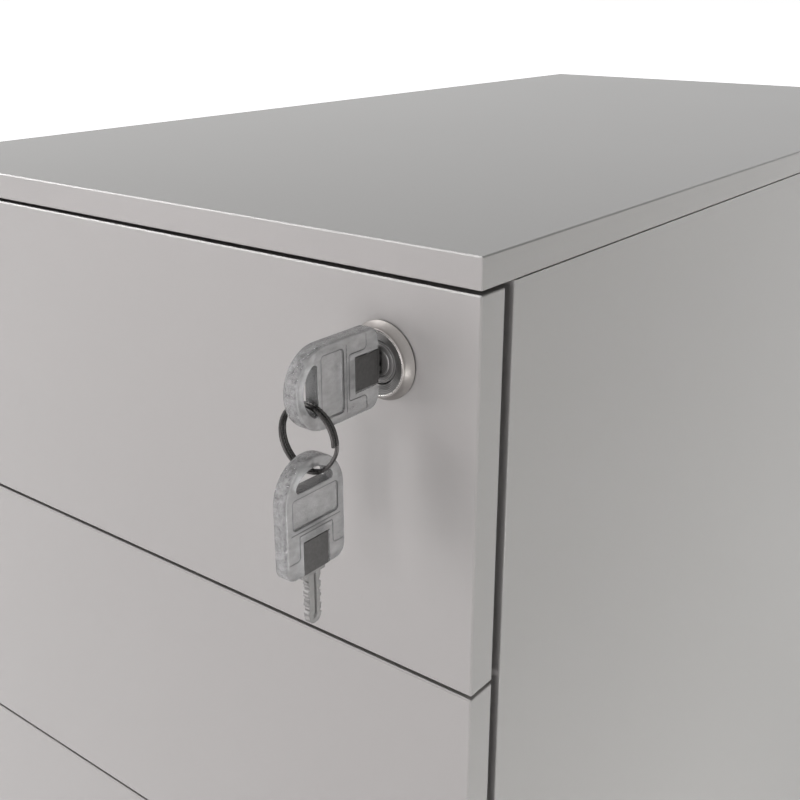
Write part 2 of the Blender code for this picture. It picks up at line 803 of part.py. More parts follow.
# ------------------------------------------------------------------- the keys
def key_head(name, frame):
    """The moulded head. u runs from the head's centre to the blade's tip."""
    end = KEY_HEAD_LENGTH - KEY_HEAD_RADIUS
    notch = end - KEY_SHOULDER_LENGTH - FIT
    notch_v = KEY_SHOULDER_WIDTH / 2 + FIT
    corner_v = KEY_HEAD_RADIUS - KEY_CORNER_RADIUS
    corner_u = end - KEY_CORNER_RADIUS
    outline = arc((0, 0), KEY_HEAD_RADIUS, 90, 270, 17)
    outline += arc((corner_u, -corner_v), KEY_CORNER_RADIUS, 270, 360, 6)
    outline += [(end, -notch_v), (notch, -notch_v), (notch, notch_v), (end, notch_v)]
    outline += arc((corner_u, corner_v), KEY_CORNER_RADIUS, 0, 90, 6)
    open_angle = math.degrees(math.acos(KEY_HOLE_CHORD / KEY_HOLE_RADIUS))
    hole = arc((0, 0), KEY_HOLE_RADIUS, 180 - open_angle, 180 + open_angle, 13)
    body = prism(name, [outline, hole], KEY_HEAD_THICKNESS, frame, clear_plastic)
    rounded(body, KEY_HEAD_BEVEL)
    panel_u = KEY_PANEL_GAP - KEY_HOLE_CHORD
    panel_v = KEY_HEAD_RADIUS - KEY_PANEL_MARGIN
    deep = KEY_HEAD_THICKNESS / 2 - KEY_PANEL_DEPTH
    for side in (-1, 1):
        low, high = sorted((side * deep, side * KEY_HEAD_THICKNESS))
        panel = block(
            f"{name}_panel_{side}",
            (panel_u, -panel_v, low), (panel_u + KEY_PANEL_LENGTH, panel_v, high),
        )
        panel.matrix_world = frame
        cut(body, panel)
    pocket = block(
        name + "_pocket",
        (notch - KEY_TANG_GRIP - FIT, -KEY_TANG_WIDTH / 2 - FIT, -KEY_METAL / 2 - FIT),
        (notch + FIT, KEY_TANG_WIDTH / 2 + FIT, KEY_METAL / 2 + FIT),
    )
    pocket.matrix_world = frame
    return cut(body, pocket)


def key_blade(name, frame):
    """Tang, shoulder and pointed blade in one flat piece of steel."""
    end = KEY_HEAD_LENGTH - KEY_HEAD_RADIUS
    shoulder = end - KEY_SHOULDER_LENGTH
    tang = shoulder - KEY_TANG_GRIP
    tip = end + KEY_BLADE_LENGTH
    upper = [
        (tip, KEY_BLADE_WIDTH / 6), (tip - KEY_TIP_LENGTH, KEY_BLADE_WIDTH / 2),
        (end, KEY_BLADE_WIDTH / 2), (end, KEY_SHOULDER_WIDTH / 2),
        (shoulder, KEY_SHOULDER_WIDTH / 2), (shoulder, KEY_TANG_WIDTH / 2),
        (tang, KEY_TANG_WIDTH / 2),
    ]
    lower = [(u, -v) for u, v in reversed(upper)]
    return prism(name, [upper + lower], KEY_METAL, frame, key_steel)


def key_ring(centre):
    """A split ring: one wire, two turns side by side, its ends left apart."""
    total = 720 - RING_CROSSING
    crossing = 360 - RING_CROSSING
    curve = bpy.data.curves.new("key_ring", "CURVE")
    curve.dimensions = "3D"
    curve.bevel_depth = RING_WIRE_RADIUS
    curve.bevel_resolution = 1
    curve.use_fill_caps = True
    spline = curve.splines.new("POLY")
    count = total // RING_STEP + 1
    spline.points.add(count - 1)
    for i, point in enumerate(spline.points):
        degrees = i * RING_STEP
        share = min(max((degrees - crossing) / RING_CROSSING, 0.0), 1.0)
        across = RING_PITCH * (share * share * (3 - 2 * share) - 0.5)
        angle = math.radians(degrees)
        point.co = (
            RING_RADIUS * math.cos(angle), across, RING_RADIUS * math.sin(angle), 1.0
        )
    wire = bpy.data.objects.new("key_ring_wire", curve)
    cutters.objects.link(wire)
    wire.location = centre
    mesh = baked_mesh(wire)
    bm = bmesh.new()
    bm.from_mesh(mesh)
    bmesh.ops.remove_doubles(bm, verts=bm.verts, dist=1e-6)
    bmesh.ops.recalc_face_normals(bm, faces=bm.faces)
    bm.to_mesh(mesh)
    bm.free()
    return add("key_ring", mesh, dark_metal)


# ------------------------------------------------------------------- castors
def castor_plate(name, frame):
    """The fixing plate and the swivel stem under it, in one piece."""
    high = flange_top_z
    low = high - PLATE_THICKNESS
    h = PLATE_SIZE / 2
    body = block(name, (-h, -h, low), (h, h, high), galvanised)
    stem = rod(
        name + "_stem", STEM_RADIUS, (0, 0, low - STEM_DEPTH), (0, 0, low + SHEET), steps=24
    )
    join(body, stem)
    mesh = baked_mesh(body)
    mesh.transform(frame)
    return add(name, mesh, galvanised)


def castor_hood(name, frame, braked):
    """The swivelling hood: an arch over both wheels and the web between."""
    high = flange_top_z - PLATE_THICKNESS - FIT
    width = WEB_HALF + WHEEL_SIDE_PLAY + WHEEL_WIDTH + WHEEL_SIDE_PLAY
    skirt = math.degrees(HOOD_SKIRT)
    outline = arc((CASTOR_TRAIL, WHEEL_RADIUS), HOOD_RADIUS, -skirt, 180 + skirt, 29)
    upright = axes((0, 0, 0), (0, 1, 0), (0, 0, 1))
    body = prism(name, [outline], 2 * width, upright, black_plastic)
    neck_low = WHEEL_RADIUS + math.sqrt(HOOD_INSIDE_RADIUS**2 - CASTOR_TRAIL**2)
    neck = rod(name + "_neck", NECK_RADIUS, (0, 0, neck_low), (0, 0, high), steps=28)
    join(body, neck)
    pivot_y = CASTOR_TRAIL + HOOD_RADIUS + BRAKE_BARREL_RADIUS + RUNNING_PLAY
    if braked:
        ear = BRAKE_BARREL_RADIUS + RUNNING_PLAY
        for side in (-1, 1):
            near, far = sorted(
                (side * (BRAKE_HALF_WIDTH + RUNNING_PLAY),
                 side * (BRAKE_HALF_WIDTH + RUNNING_PLAY + BRAKE_EAR))
            )
            join(
                body,
                block(
                    f"{name}_ear_{side}",
                    (near, CASTOR_TRAIL + HOOD_RADIUS / 2, BRAKE_HEIGHT - ear),
                    (far, pivot_y + ear, BRAKE_HEIGHT + ear),
                ),
            )
    axle = Vector((0, CASTOR_TRAIL, WHEEL_RADIUS))
    for side in (-1, 1):
        start = axle + Vector((side * WEB_HALF, 0, 0))
        end = axle + Vector((side * 2 * width, 0, 0))
        cut(body, rod(f"{name}_pocket_{side}", HOOD_INSIDE_RADIUS, start, end, steps=40))
    if braked:
        cut(
            body,
            rod(
                name + "_brake_bore", BRAKE_PIN_RADIUS + RUNNING_PLAY,
                (-width, pivot_y, BRAKE_HEIGHT), (width, pivot_y, BRAKE_HEIGHT), steps=12,
            ),
        )
    stem_low = flange_top_z - PLATE_THICKNESS - STEM_DEPTH - FIT
    cut(
        body,
        rod(
            name + "_stem_bore", STEM_RADIUS + RUNNING_PLAY,
            (0, 0, stem_low), (0, 0, high + SHEET), steps=24,
        ),
        rod(
            name + "_axle_bore", AXLE_RADIUS + RUNNING_PLAY,
            (-width, CASTOR_TRAIL, WHEEL_RADIUS), (width, CASTOR_TRAIL, WHEEL_RADIUS),
            steps=24,
        ),
    )
    mesh = baked_mesh(body)
    mesh.transform(frame)
    return add(name, mesh, black_plastic)


def castor_wheels(name, frame):
    """Both wheels on the axle that they turn with."""
    inner = WEB_HALF + WHEEL_SIDE_PLAY
    outer = inner + WHEEL_WIDTH
    dish = outer - WHEEL_DISH_DEPTH
    edge = WHEEL_RADIUS - WHEEL_EDGE
    side = [
        (0.0, dish), (WHEEL_DISH_RADIUS - WHEEL_DISH_DEPTH, dish),
        (WHEEL_DISH_RADIUS, outer), (edge, outer),
        (WHEEL_RADIUS - WHEEL_EDGE * 0.3, outer - WHEEL_EDGE * 0.3),
        (WHEEL_RADIUS, outer - WHEEL_EDGE), (WHEEL_RADIUS, inner + WHEEL_EDGE),
        (edge, inner), (AXLE_RADIUS, inner),
    ]
    profile = side + [(r, -h) for r, h in reversed(side)]
    spin = axes((0, CASTOR_TRAIL, WHEEL_RADIUS), (0, 1, 0), (0, 0, 1))
    mesh = baked_mesh(turned(name, profile, spin, tread, WHEEL_STEPS))
    mesh.transform(frame)
    return add(name, mesh, tread)


def castor_brake(name, frame):
    """A pedal hinged between two ears at the back of the hood."""
    y = CASTOR_TRAIL + HOOD_RADIUS + BRAKE_BARREL_RADIUS + RUNNING_PLAY
    w = BRAKE_HALF_WIDTH
    body = rod(
        name, BRAKE_BARREL_RADIUS, (-w, y, BRAKE_HEIGHT), (w, y, BRAKE_HEIGHT),
        black_plastic, 20,
    )
    reach = w + RUNNING_PLAY + BRAKE_EAR
    pins = rod(
        name + "_pins", BRAKE_PIN_RADIUS, (-reach, y, BRAKE_HEIGHT), (reach, y, BRAKE_HEIGHT),
        steps=12,
    )
    pedal_top = BRAKE_HEIGHT + BRAKE_BARREL_RADIUS * 0.7
    pedal = block(
        name + "_pedal",
        (-w, y, pedal_top - BRAKE_PEDAL_THICKNESS), (w, y + BRAKE_PEDAL, pedal_top),
    )
    join(body, pins, rounded(pedal, BRAKE_PEDAL_THICKNESS / 4))
    mesh = baked_mesh(body)
    mesh.transform(frame)
    return add(name, mesh, black_plastic)


# ------------------------------------------------------------------ assembly
def build_cabinet():
    root = pivot("cabinet", (0, 0, 0))
    carry(
        root, top_panel(), back_panel(), base_pan(), front_top_rail(),
        *(side_panel(s) for s in (-1, 1)), *(rear_upright(s) for s in (-1, 1)),
        bar_guide("bar_guide_upper", DRAWERS[0]), bar_guide("bar_guide_lower", DRAWERS[1]),
    )
    return root


def build_drawers(root):
    made = {}
    for drawer in DRAWERS:
        runner_z = (drawer.slide_low + drawer.slide_high) / 2
        place = (0, front_y + SLIDE_SETBACK, runner_z)
        runner = pivot(drawer.name + "_runner", place, root)
        carry(runner, drawer_front(drawer), drawer_box(drawer), catch(drawer))
        stage = pivot(drawer.name + "_middle_runner", place, root)
        for side in (-1, 1):
            cabinet, middle, moving = slides(drawer, side)
            carry(root, cabinet)
            carry(runner, moving)
            if middle:
                carry(stage, middle)
        made[drawer.name] = runner
    carry(made["drawer_1"], pencil_tray())
    carry(
        made["drawer_3"],
        file_rail("file_rail_front", FILE_RAIL_SETBACK),
        file_rail("file_rail_rear", FILE_RAIL_SETBACK + FILE_RAIL_SPACING),
    )
    return made["drawer_1"]


def build_lock(root, drawer_1):
    bar = pivot("bar_slide", (half - BAR_FROM_SIDE, front_y + BAR_SETBACK, lock_z), root)
    carry(bar, locking_bar())
    carry(drawer_1, smooth(lock_housing()), lock_nut())
    turn = pivot("lock_turn", (lock_x, front_y, lock_z), drawer_1)
    head = Vector((lock_x, front_y - hole_y_out, lock_z))
    key_1 = axes(head, (0, 1, 0), (0, 0, 1))
    carry(
        turn, smooth(lock_rotor()), lock_cam(),
        key_head("key_1_head", key_1), key_blade("key_1_blade", key_1),
    )
    inner_side = KEY_HOLE_CHORD + FIT
    outer_side = inner_side + 2 * ring_half_width
    rim_in = math.sqrt(KEY_HOLE_RADIUS**2 - outer_side**2)
    rim_out = math.sqrt(KEY_HEAD_RADIUS**2 - inner_side**2)
    rim_mid = (rim_in + rim_out) / 2
    worst = math.hypot((rim_out - rim_in) / 2, KEY_HEAD_THICKNESS / 2)
    inside = RING_RADIUS - RING_WIRE_RADIUS
    hang_z = lock_z - rim_mid
    ring_z = hang_z + worst + RING_CLEARANCE - inside
    ring_y = front_y - ring_y_out
    hang = pivot("ring_hang", (lock_x, ring_y, hang_z), turn)
    carry(hang, smooth(key_ring((lock_x, ring_y, ring_z))))
    swing = pivot("key_2_swing", (lock_x, ring_y, ring_z - RING_RADIUS), hang)
    sag = inside - math.sqrt(inside**2 - (KEY_HEAD_THICKNESS / 2) ** 2)
    edge = math.sqrt(KEY_HOLE_RADIUS**2 - (ring_half_width + KEY_2_OFFSET) ** 2)
    head_z = ring_z - inside + sag + KEY_2_CLEARANCE - edge
    key_2 = axes((lock_x, ring_y - KEY_2_OFFSET, head_z), (0, 0, -1), (0, 1, 0))
    carry(swing, key_head("key_2_head", key_2), key_blade("key_2_blade", key_2))
    print("ring hang", tuple(round(v, 6) for v in hang.matrix_world.translation))
    print("key 2 swing", tuple(round(v, 6) for v in swing.matrix_world.translation))


def build_castors(root):
    for end, away in (("front", -1), ("rear", 1)):
        y = (front_y if away < 0 else back_y) - away * CASTOR_FROM_END
        for hand, side in (("left", -1), ("right", 1)):
            x = side * (half - CASTOR_FROM_SIDE)
            turn = Matrix.Rotation(math.pi if away < 0 else 0.0, 4, "Z")
            frame = Matrix.Translation((x, y, 0)) @ turn
            tail = f"castor_{end}_{hand}"
            carry(root, castor_plate(tail + "_plate", frame))
            swivel = pivot(tail + "_swivel", (x, y, 0), root)
            carry(swivel, smooth(castor_hood(tail + "_hood", frame, away < 0)))
            axle = pivot(tail + "_axle", frame @ Vector((0, CASTOR_TRAIL, WHEEL_RADIUS)), swivel)
            carry(axle, smooth(castor_wheels(tail + "_wheels", frame)))
            if away < 0:
                y_brake = CASTOR_TRAIL + HOOD_RADIUS + BRAKE_BARREL_RADIUS + RUNNING_PLAY
                hinge = pivot(
                    tail + "_brake_pivot", frame @ Vector((0, y_brake, BRAKE_HEIGHT)), swivel
                )
                carry(hinge, smooth(castor_brake(tail + "_brake", frame)))


def set_origins():
    """Puts the origin of each hanging piece on the empty that carries it."""
    bpy.context.view_layer.update()
    for body in pieces.objects:
        if body.type != "MESH" or body.modifiers or body.parent is None:
            continue
        place = body.parent.matrix_world.translation.copy()
        body.data.transform(Matrix.Translation(-place) @ body.matrix_world)
        body.matrix_parent_inverse = Matrix()
        body.matrix_local = Matrix()


cabinet = build_cabinet()
top_drawer = build_drawers(cabinet)
build_lock(cabinet, top_drawer)
build_castors(cabinet)
set_origins()
print("lock axis", lock_x, front_y, lock_z, "bar travel", bar_travel)
print("whole height", top_z, "front", front_y, "back", back_y)
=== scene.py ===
import json
import math

import bmesh
import bpy
import numpy as np
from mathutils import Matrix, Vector

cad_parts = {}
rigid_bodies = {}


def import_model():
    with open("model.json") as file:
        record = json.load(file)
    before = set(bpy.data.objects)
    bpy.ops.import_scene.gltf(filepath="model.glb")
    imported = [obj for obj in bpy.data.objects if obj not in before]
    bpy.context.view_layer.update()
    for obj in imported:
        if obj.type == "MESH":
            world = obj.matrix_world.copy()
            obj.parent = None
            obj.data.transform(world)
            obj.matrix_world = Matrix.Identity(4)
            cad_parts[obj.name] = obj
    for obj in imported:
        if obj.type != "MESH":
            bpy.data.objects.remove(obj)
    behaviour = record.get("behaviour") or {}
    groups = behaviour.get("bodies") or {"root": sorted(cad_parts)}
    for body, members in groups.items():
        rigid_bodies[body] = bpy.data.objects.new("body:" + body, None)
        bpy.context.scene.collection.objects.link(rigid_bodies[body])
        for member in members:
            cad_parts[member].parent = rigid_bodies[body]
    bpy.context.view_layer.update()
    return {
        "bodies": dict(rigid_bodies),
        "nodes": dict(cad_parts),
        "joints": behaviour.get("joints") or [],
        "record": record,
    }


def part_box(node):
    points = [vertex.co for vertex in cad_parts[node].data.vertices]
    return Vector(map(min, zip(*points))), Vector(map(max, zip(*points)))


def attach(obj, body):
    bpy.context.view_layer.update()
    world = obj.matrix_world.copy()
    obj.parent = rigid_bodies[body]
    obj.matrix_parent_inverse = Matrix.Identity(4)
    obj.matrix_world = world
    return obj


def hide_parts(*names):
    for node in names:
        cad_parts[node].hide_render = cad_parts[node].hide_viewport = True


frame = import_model()
nodes = frame["nodes"]
mm = 0.001

# the camera, solved from the photograph's straight edges
view = {
    "fromCorner": (0.15550, -0.23595, 0.06730),   # from the top's front right corner
    "turn": (69.075, 0.0, 37.83),                 # degrees
    "lens": 48.98, "sensor": 36.0,                # millimetres
    "nearest": 10 * mm,
}


def makeCamera():
    # the camera stands at the top's corner plus a fixed step and is turned by three angles
    low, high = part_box("top_panel")
    corner = Vector((high.x, low.y, high.z))
    made = bpy.data.cameras.new("camera")
    made.lens = view["lens"]
    made.sensor_width = view["sensor"]
    made.clip_start = view["nearest"]
    camera = bpy.data.objects.new("camera", made)
    camera.location = corner + Vector(view["fromCorner"])
    camera.rotation_euler = [math.radians(a) for a in view["turn"]]
    bpy.context.scene.collection.objects.link(camera)
    bpy.context.scene.camera = camera


makeCamera()


class Val:
    # a socket, so that sums written in Python add their Math nodes
    def __init__(self, tree, socket):
        self.tree = tree
        self.socket = socket

    def math(self, operation, *others):
        # one Math node on this socket and up to two more values
        node = self.tree.nodes.new("ShaderNodeMath")
        node.operation = operation
        for slot, value in zip(node.inputs, (self, *others)):
            plug(self.tree, slot, value)
        return Val(self.tree, node.outputs[0])

    def __add__(self, other):
        return self.math("ADD", other)

    def __sub__(self, other):
        return self.math("SUBTRACT", other)

    def __rsub__(self, other):
        return (self * -1.0).math("ADD", other)

    def __mul__(self, other):
        return self.math("MULTIPLY", other)

    def __truediv__(self, other):
        return self.math("DIVIDE", other)

    def __pow__(self, other):
        return self.math("POWER", other)

    __radd__ = __add__
    __rmul__ = __mul__

    def clamped(self):
        # held between 0 and 1
        return self.math("MAXIMUM", 0.0).math("MINIMUM", 1.0)


def plug(tree, slot, value):
    # links a value to a socket, or writes a number or a colour on it
    if isinstance(value, Val):
        tree.links.new(value.socket, slot)
    elif hasattr(value, "__len__") and len(slot.default_value) == 4:
        slot.default_value = (*value[:3], 1.0)
    else:
        slot.default_value = value


class Finish:
    # one material: its Principled shader, its object coordinates and its nodes
    def __init__(self, name, colour, roughness, metallic=0.0, **fixed):
        self.material = bpy.data.materials.new(name)
        self.material.use_nodes = True
        self.tree = self.material.node_tree
        self.shader = self.tree.nodes["Principled BSDF"]
        self.set("Base Color", colour)
        self.set("Roughness", roughness)
        self.set("Metallic", metallic)
        for key, value in fixed.items():
            self.set(key.replace("_", " "), value)
        self.place = self.node("TexCoord", {}, {}, "Object")

    def set(self, socket, value):
        plug(self.tree, self.shader.inputs[socket], value)

    def node(self, kind, settings, inputs, output=0):
        # settings first, then the values or links of the sockets
        made = self.tree.nodes.new("ShaderNode" + kind)
        for key, value in settings.items():
            setattr(made, key, value)
        for key, value in inputs.items():
            plug(self.tree, made.inputs[key], value)
        return Val(self.tree, made.outputs[output])

    def noise(self, scale, detail=2.0, stretch=None):
        # soft noise: its scale is grains a metre, stretched along the three axes
        where = self.place
        if stretch:
            where = self.node("Mapping", {}, {"Vector": where, "Scale": stretch})
        return self.node("TexNoise", {}, {"Vector": where, "Scale": scale, "Detail": detail})

    def axis(self, letter, vector=None):
        # one of the three parts of a place or a colour
        return self.node("SeparateXYZ", {}, {0: vector or self.place}, letter)

    def mix(self, factor, first, second):
        return self.node("Mix", {"data_type": "RGBA"}, {0: factor, 6: first, 7: second}, 2)

    def shades(self, factor, colour, low, high):
        # the base colour drifts between a darker and a lighter shade
        self.set("Base Color", self.mix(factor, tint(colour, low), tint(colour, high)))

    def bump(self, height, distance, strength=1.0):
        sockets = {"Strength": strength, "Distance": distance, "Height": height}
        self.set("Normal", self.node("Bump", {}, sockets))


def tint(colour, factor):
    # a colour made darker or lighter
    return tuple(c * factor for c in colour)


# in the finishes, grains, crystals, clouds and the like are counted a metre, and dulling is how
# much rougher they make the surface where they are strongest
coat = {
    "colour": (0.435, 0.425, 0.415), "roughness": 0.42, "reflect": 0.25,
    "gloss": 0.18, "glossRoughness": 0.14,        # a thin clear skin, for bright lines on the edges
    "grain": 900.0, "relief": 0.010 * mm, "clouds": 6.0, "drift": 0.02, "dulling": 0.06,
}
zinc = {
    "colour": (0.50, 0.51, 0.52), "roughness": 0.27, "crystals": 110.0, "drift": 0.05,
    "lines": 30.0, "stretch": (60.0, 1.0, 60.0), "relief": 0.01 * mm, "dulling": (0.05, 0.12),
}
plated = {"grain": 1400.0, "spread": 0.06, "relief": 0.004 * mm, "dulling": 0.12}
turned = {
    "pitch": 0.5 * mm, "grain": 2500.0, "shades": (0.75, 1.2), "relief": 0.006 * mm, "dulling": 0.1,
}
clear = {
    "through": 0.64, "bend": 1.5, "flow": 1900.0, "haze": 520.0, "stretch": (1.0, 0.5, 1.0),
    "contrast": (1.6, 0.3), "strength": 0.8, "dulling": 0.12,
}
moulded = {
    "grain": 700.0, "relief": 0.02 * mm, "smudges": 18.0, "shades": (0.88, 1.15), "dulling": 0.1,
}


def powderCoat(name, colour):
    # satin powder coat: fine orange peel, faint clouds and a slightly duller patch here and there
    d = coat
    made = Finish(
        name, colour, d["roughness"], Specular_IOR_Level=d["reflect"],
        Coat_Weight=d["gloss"], Coat_Roughness=d["glossRoughness"],
    )
    grain, cloud = made.noise(d["grain"], 3.0), made.noise(d["clouds"], 4.0)
    made.shades(cloud, colour, 1 - d["drift"], 1 + d["drift"])
    dulling = d["dulling"]
    made.set("Roughness", cloud * dulling + grain * dulling + (d["roughness"] - dulling))
    made.bump(grain, d["relief"])
    return made.material


def zincSheet(name, colour):
    # zinc on rolled steel: pale crystals, with the mill's fine lines along the sheet
    d = zinc
    made = Finish(name, colour, d["roughness"], 1.0)
    cells = {"Vector": made.place, "Scale": d["crystals"]}
    shade = made.axis("X", made.node("TexVoronoi", {}, cells, "Color"))
    rolled = made.noise(d["lines"], 3.0, d["stretch"])
    made.shades(shade, colour, 1 - d["drift"], 1 + d["drift"])
    first, second = d["dulling"]
    made.set("Roughness", shade * first + rolled * second + d["roughness"])
    made.bump(rolled, d["relief"])
    return made.material


def platedMetal(name, colour, roughness, **own):
    # blasted and plated metal: an even, very fine grain
    d = {**plated, **own}
    made = Finish(name, colour, roughness, 1.0)
    speck = made.noise(d["grain"])
    made.shades(speck, colour, 1 - d["spread"], 1 + d["spread"])
    made.set("Roughness", speck * d["dulling"] + (roughness - d["dulling"] / 2))
    made.bump(speck, d["relief"])
    return made.material


def turnedMetal(name, colour, roughness, centre):
    # a face cut on a lathe: rings, a sine of the distance from the lock's axis
    d = turned
    made = Finish(name, colour, roughness, 1.0)
    local = made.node("Mapping", {}, {"Vector": made.place, "Location": -centre})
    x, z = made.axis("X", local), made.axis("Z", local)
    rings = (((x * x + z * z) ** 0.5) * (2 * math.pi / d["pitch"])).math("SINE")
    speck = made.noise(d["grain"])
    made.shades(rings * 0.5 + 0.5, colour, *d["shades"])
    made.set("Roughness", speck * d["dulling"] + (roughness - d["dulling"] / 2))
    made.bump(rings, d["relief"])
    return made.material


def clearPlastic(name, grey, polish, relief, spread):
    # clear moulded plastic, a little hazy, with flow marks that glitter at the edges
    d, colour = clear, (grey, grey, grey)
    made = Finish(name, colour, polish, Transmission_Weight=d["through"], IOR=d["bend"])
    flow = made.noise(d["flow"], 3.0, d["stretch"])
    haze = made.noise(d["haze"], 4.0, d["stretch"])
    gain, less = d["contrast"]
    clouded = (haze * gain - less).clamped()
    made.shades(clouded, colour, 1 - spread, 1 + spread / 2)
    made.set("Roughness", clouded * d["dulling"] + polish)
    made.bump(flow, relief, d["strength"])
    return made.material


def mouldedPlastic(name, colour, roughness, **own):
    # the fine texture of the mould, a little polished by handling
    d = {**moulded, **own}
    made = Finish(name, colour, roughness)
    speck, smudge = made.noise(d["grain"]), made.noise(d["smudges"], 3.0)
    made.shades(smudge, colour, *d["shades"])
    dulling = d["dulling"]
    made.set("Roughness", smudge * dulling + speck * dulling + (roughness - dulling))
    made.bump(speck, d["relief"])
    return made.material


def middle(node):
    # the middle of a CAD node's box
    low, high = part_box(node)
    return (low + high) / 2


lockAxis = middle("lock_housing")
lockAxis.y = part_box("drawer_1_front")[0].y

steelPaint = powderCoat("light_grey_powder_coat", coat["colour"])
zincSteel = zincSheet("zinc_plated_sheet", zinc["colour"])
brightZinc = platedMetal("bright_zinc", (0.60, 0.61, 0.62), 0.3)
satinNickel = platedMetal("satin_nickel", (0.295, 0.277, 0.265), 0.42)
rimMetal = platedMetal("polished_rim", (0.70, 0.68, 0.66), 0.28)
plugMetal = turnedMetal("turned_plug", (0.30, 0.295, 0.29), 0.44, lockAxis)
keySteel = platedMetal("key_steel", (0.20, 0.197, 0.193), 0.52, grain=900.0, spread=0.15)
tangSteel = platedMetal(
    "dark_tang", (0.075, 0.073, 0.072), 0.55, grain=900.0, spread=0.35, relief=0.06 * mm
)
ringSteel = platedMetal("dark_ring_wire", (0.05, 0.048, 0.047), 0.28, grain=1200.0)
keyPlastic = clearPlastic("clear_key_head", 0.61, polish=0.09, relief=0.16 * mm, spread=0.25)
# painted shade: a dark plastic for the key hole's wall, standing for the shadow inside the hole
keyWallShade = clearPlastic("clear_key_wall_painted_shade", 0.17, polish=0.12, relief=0.3 * mm, spread=0.3)
keyRim = clearPlastic("clear_key_rim", 0.66, polish=0.04, relief=1.0 * mm, spread=0.7)
# painted shade: dark strips in the key heads' moulded lines stand for the lines' shadow
lineShadePlastic = mouldedPlastic("key_head_line_shade", (0.05, 0.05, 0.05), 0.4)
blackPlastic = mouldedPlastic("black_plastic", (0.028, 0.028, 0.03), 0.45)
greyPlastic = mouldedPlastic("grey_plastic", (0.15, 0.15, 0.155), 0.5)
treadRubber = mouldedPlastic("wheel_tread", (0.07, 0.07, 0.073), 0.62, grain=1200.0)
print("finishes:", len(bpy.data.materials))


def rawObject(name, verts, faces):
    # a mesh object whose doubles are merged and whose faces point outwards
    mesh = bpy.data.meshes.new(name)
    mesh.from_pydata(np.asarray(verts, float).reshape(-1, 3).tolist(), [], faces)
    made = bpy.data.objects.new(name, mesh)
    bpy.context.scene.collection.objects.link(made)
    bm = bmesh.new()
    bm.from_mesh(mesh)
    bmesh.ops.remove_doubles(bm, verts=bm.verts, dist=1e-7)
    bmesh.ops.recalc_face_normals(bm, faces=bm.faces)
    bm.to_mesh(mesh)
    bm.free()
    return made


def carve(made, *tools, operation="DIFFERENCE"):
    # takes the tools' solids away, or joins them on, and bakes the result
    for tool in tools:
        cut = made.modifiers.new("cut", "BOOLEAN")
        cut.operation = operation
        cut.solver = "EXACT"
        cut.object = tool
    bpy.context.view_layer.update()
    graph = bpy.context.evaluated_depsgraph_get()
    baked = bpy.data.meshes.new_from_object(made.evaluated_get(graph))
    made.modifiers.clear()
    made.data = baked
    for tool in tools:
        bpy.data.objects.remove(tool)
    return made


def present(made, material, body, smooth=35.0):
    # finish, shading and body of a new piece
    made.data.materials.clear()
    made.data.materials.append(material)
    made.data.shade_smooth()
    made.data.set_sharp_from_angle(angle=math.radians(smooth))
    even = made.modifiers.new("even_shading", "WEIGHTED_NORMAL")
    even.keep_sharp = True
    even.weight = 80
    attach(made, body)
    return made


def piece(name, shape, material, body, smooth=35.0):
    # a new finished piece from its (verts, faces)
    return present(rawObject(name, *shape), material, body, smooth)


def gather(*shapes):
    # several (verts, faces) in one
    verts, faces, count = [], [], 0
    for points, polygons in shapes:
        points = np.asarray(points, float).reshape(-1, 3)
        verts.append(points)
        faces += [[i + count for i in polygon] for polygon in polygons]
        count += len(points)
    return np.concatenate(verts), faces


def shell(rings, capped=True):
    # closed rings of equal length (rows, columns, 3), joined by quads; its two ends filled flat
    rings = np.asarray(rings, float)
    rows, columns = rings.shape[:2]
    r = np.arange(rows - 1)[:, None] * columns
    c = np.arange(columns)[None, :]
    n = (c + 1) % columns
    faces = np.stack([r + c, r + n, r + columns + n, r + columns + c], -1).reshape(-1, 4).tolist()
    if capped:
        faces.append(list(range(columns))[::-1])
        faces.append(list(range((rows - 1) * columns, rows * columns)))
    return rings.reshape(-1, 3), faces


def placed(points, origin, u, v, w):
    # points in a local frame of three axes, moved to the object's frame
    return np.asarray(points, float) @ np.array([u, v, w], float) + np.array(origin, float)


def moved(shape, origin, axes):
    # the same for a (verts, faces) shape
    return placed(shape[0], origin, *axes), shape[1]


def quadsOf(shape):
    # a closed band: the shape without the two filled ends
    return shape[0], [face for face in shape[1] if len(face) == 4]


def level(outline, height):
    # a flat outline lifted to one height
    return np.column_stack([outline, np.full(len(outline), height)])


def sweep(start, end, steps):
    # evenly spaced angles, in radians
    return np.radians(np.linspace(start, end, steps))


def arcPoints(centre, radius, start, end, steps):
    # centre + radius * (cos, sin)
    t = sweep(start, end, steps)
    return np.column_stack([centre[0] + radius * np.cos(t), centre[1] + radius * np.sin(t)])


def roundedRect(halfA, halfB, radius, steps=7):
    # four quarter circles, joined by the rectangle's sides
    a, b = halfA - radius, halfB - radius
    corners = ((a, b, 0), (-a, b, 90), (-a, -b, 180), (a, -b, 270))
    return np.concatenate([arcPoints((x, y), radius, t, t + 90, steps) for x, y, t in corners])


def slab(outline, thickness, edge, steps=5):
    # outline(inset) drawn at heights that follow a quarter circle over both edges
    t = sweep(0, 90, steps)
    insets, heights = edge * (1 - np.sin(t)), thickness / 2 - edge * (1 - np.cos(t))
    rings = [level(outline(i), h) for i, h in zip(insets, heights)]
    rings += [level(outline(i), -h) for i, h in zip(insets[::-1], heights[::-1])]
    return np.array(rings)


sharpest = 0.01 * mm      # no edge is rounded less, so that no ring of points falls together


def boxShape(low, high, edge=0.0, steps=4):
    # a cuboid whose upright edges and rims are rounded
    low, high = np.array(low, float), np.array(high, float)
    half, centre = (high - low) / 2, (high + low) / 2
    edge = max(edge, sharpest)
    outline = lambda inset: roundedRect(
        half[0] - inset, half[1] - inset, max(edge - inset, sharpest / 2), steps
    )
    return shell(slab(outline, 2 * half[2], edge, steps) + centre)


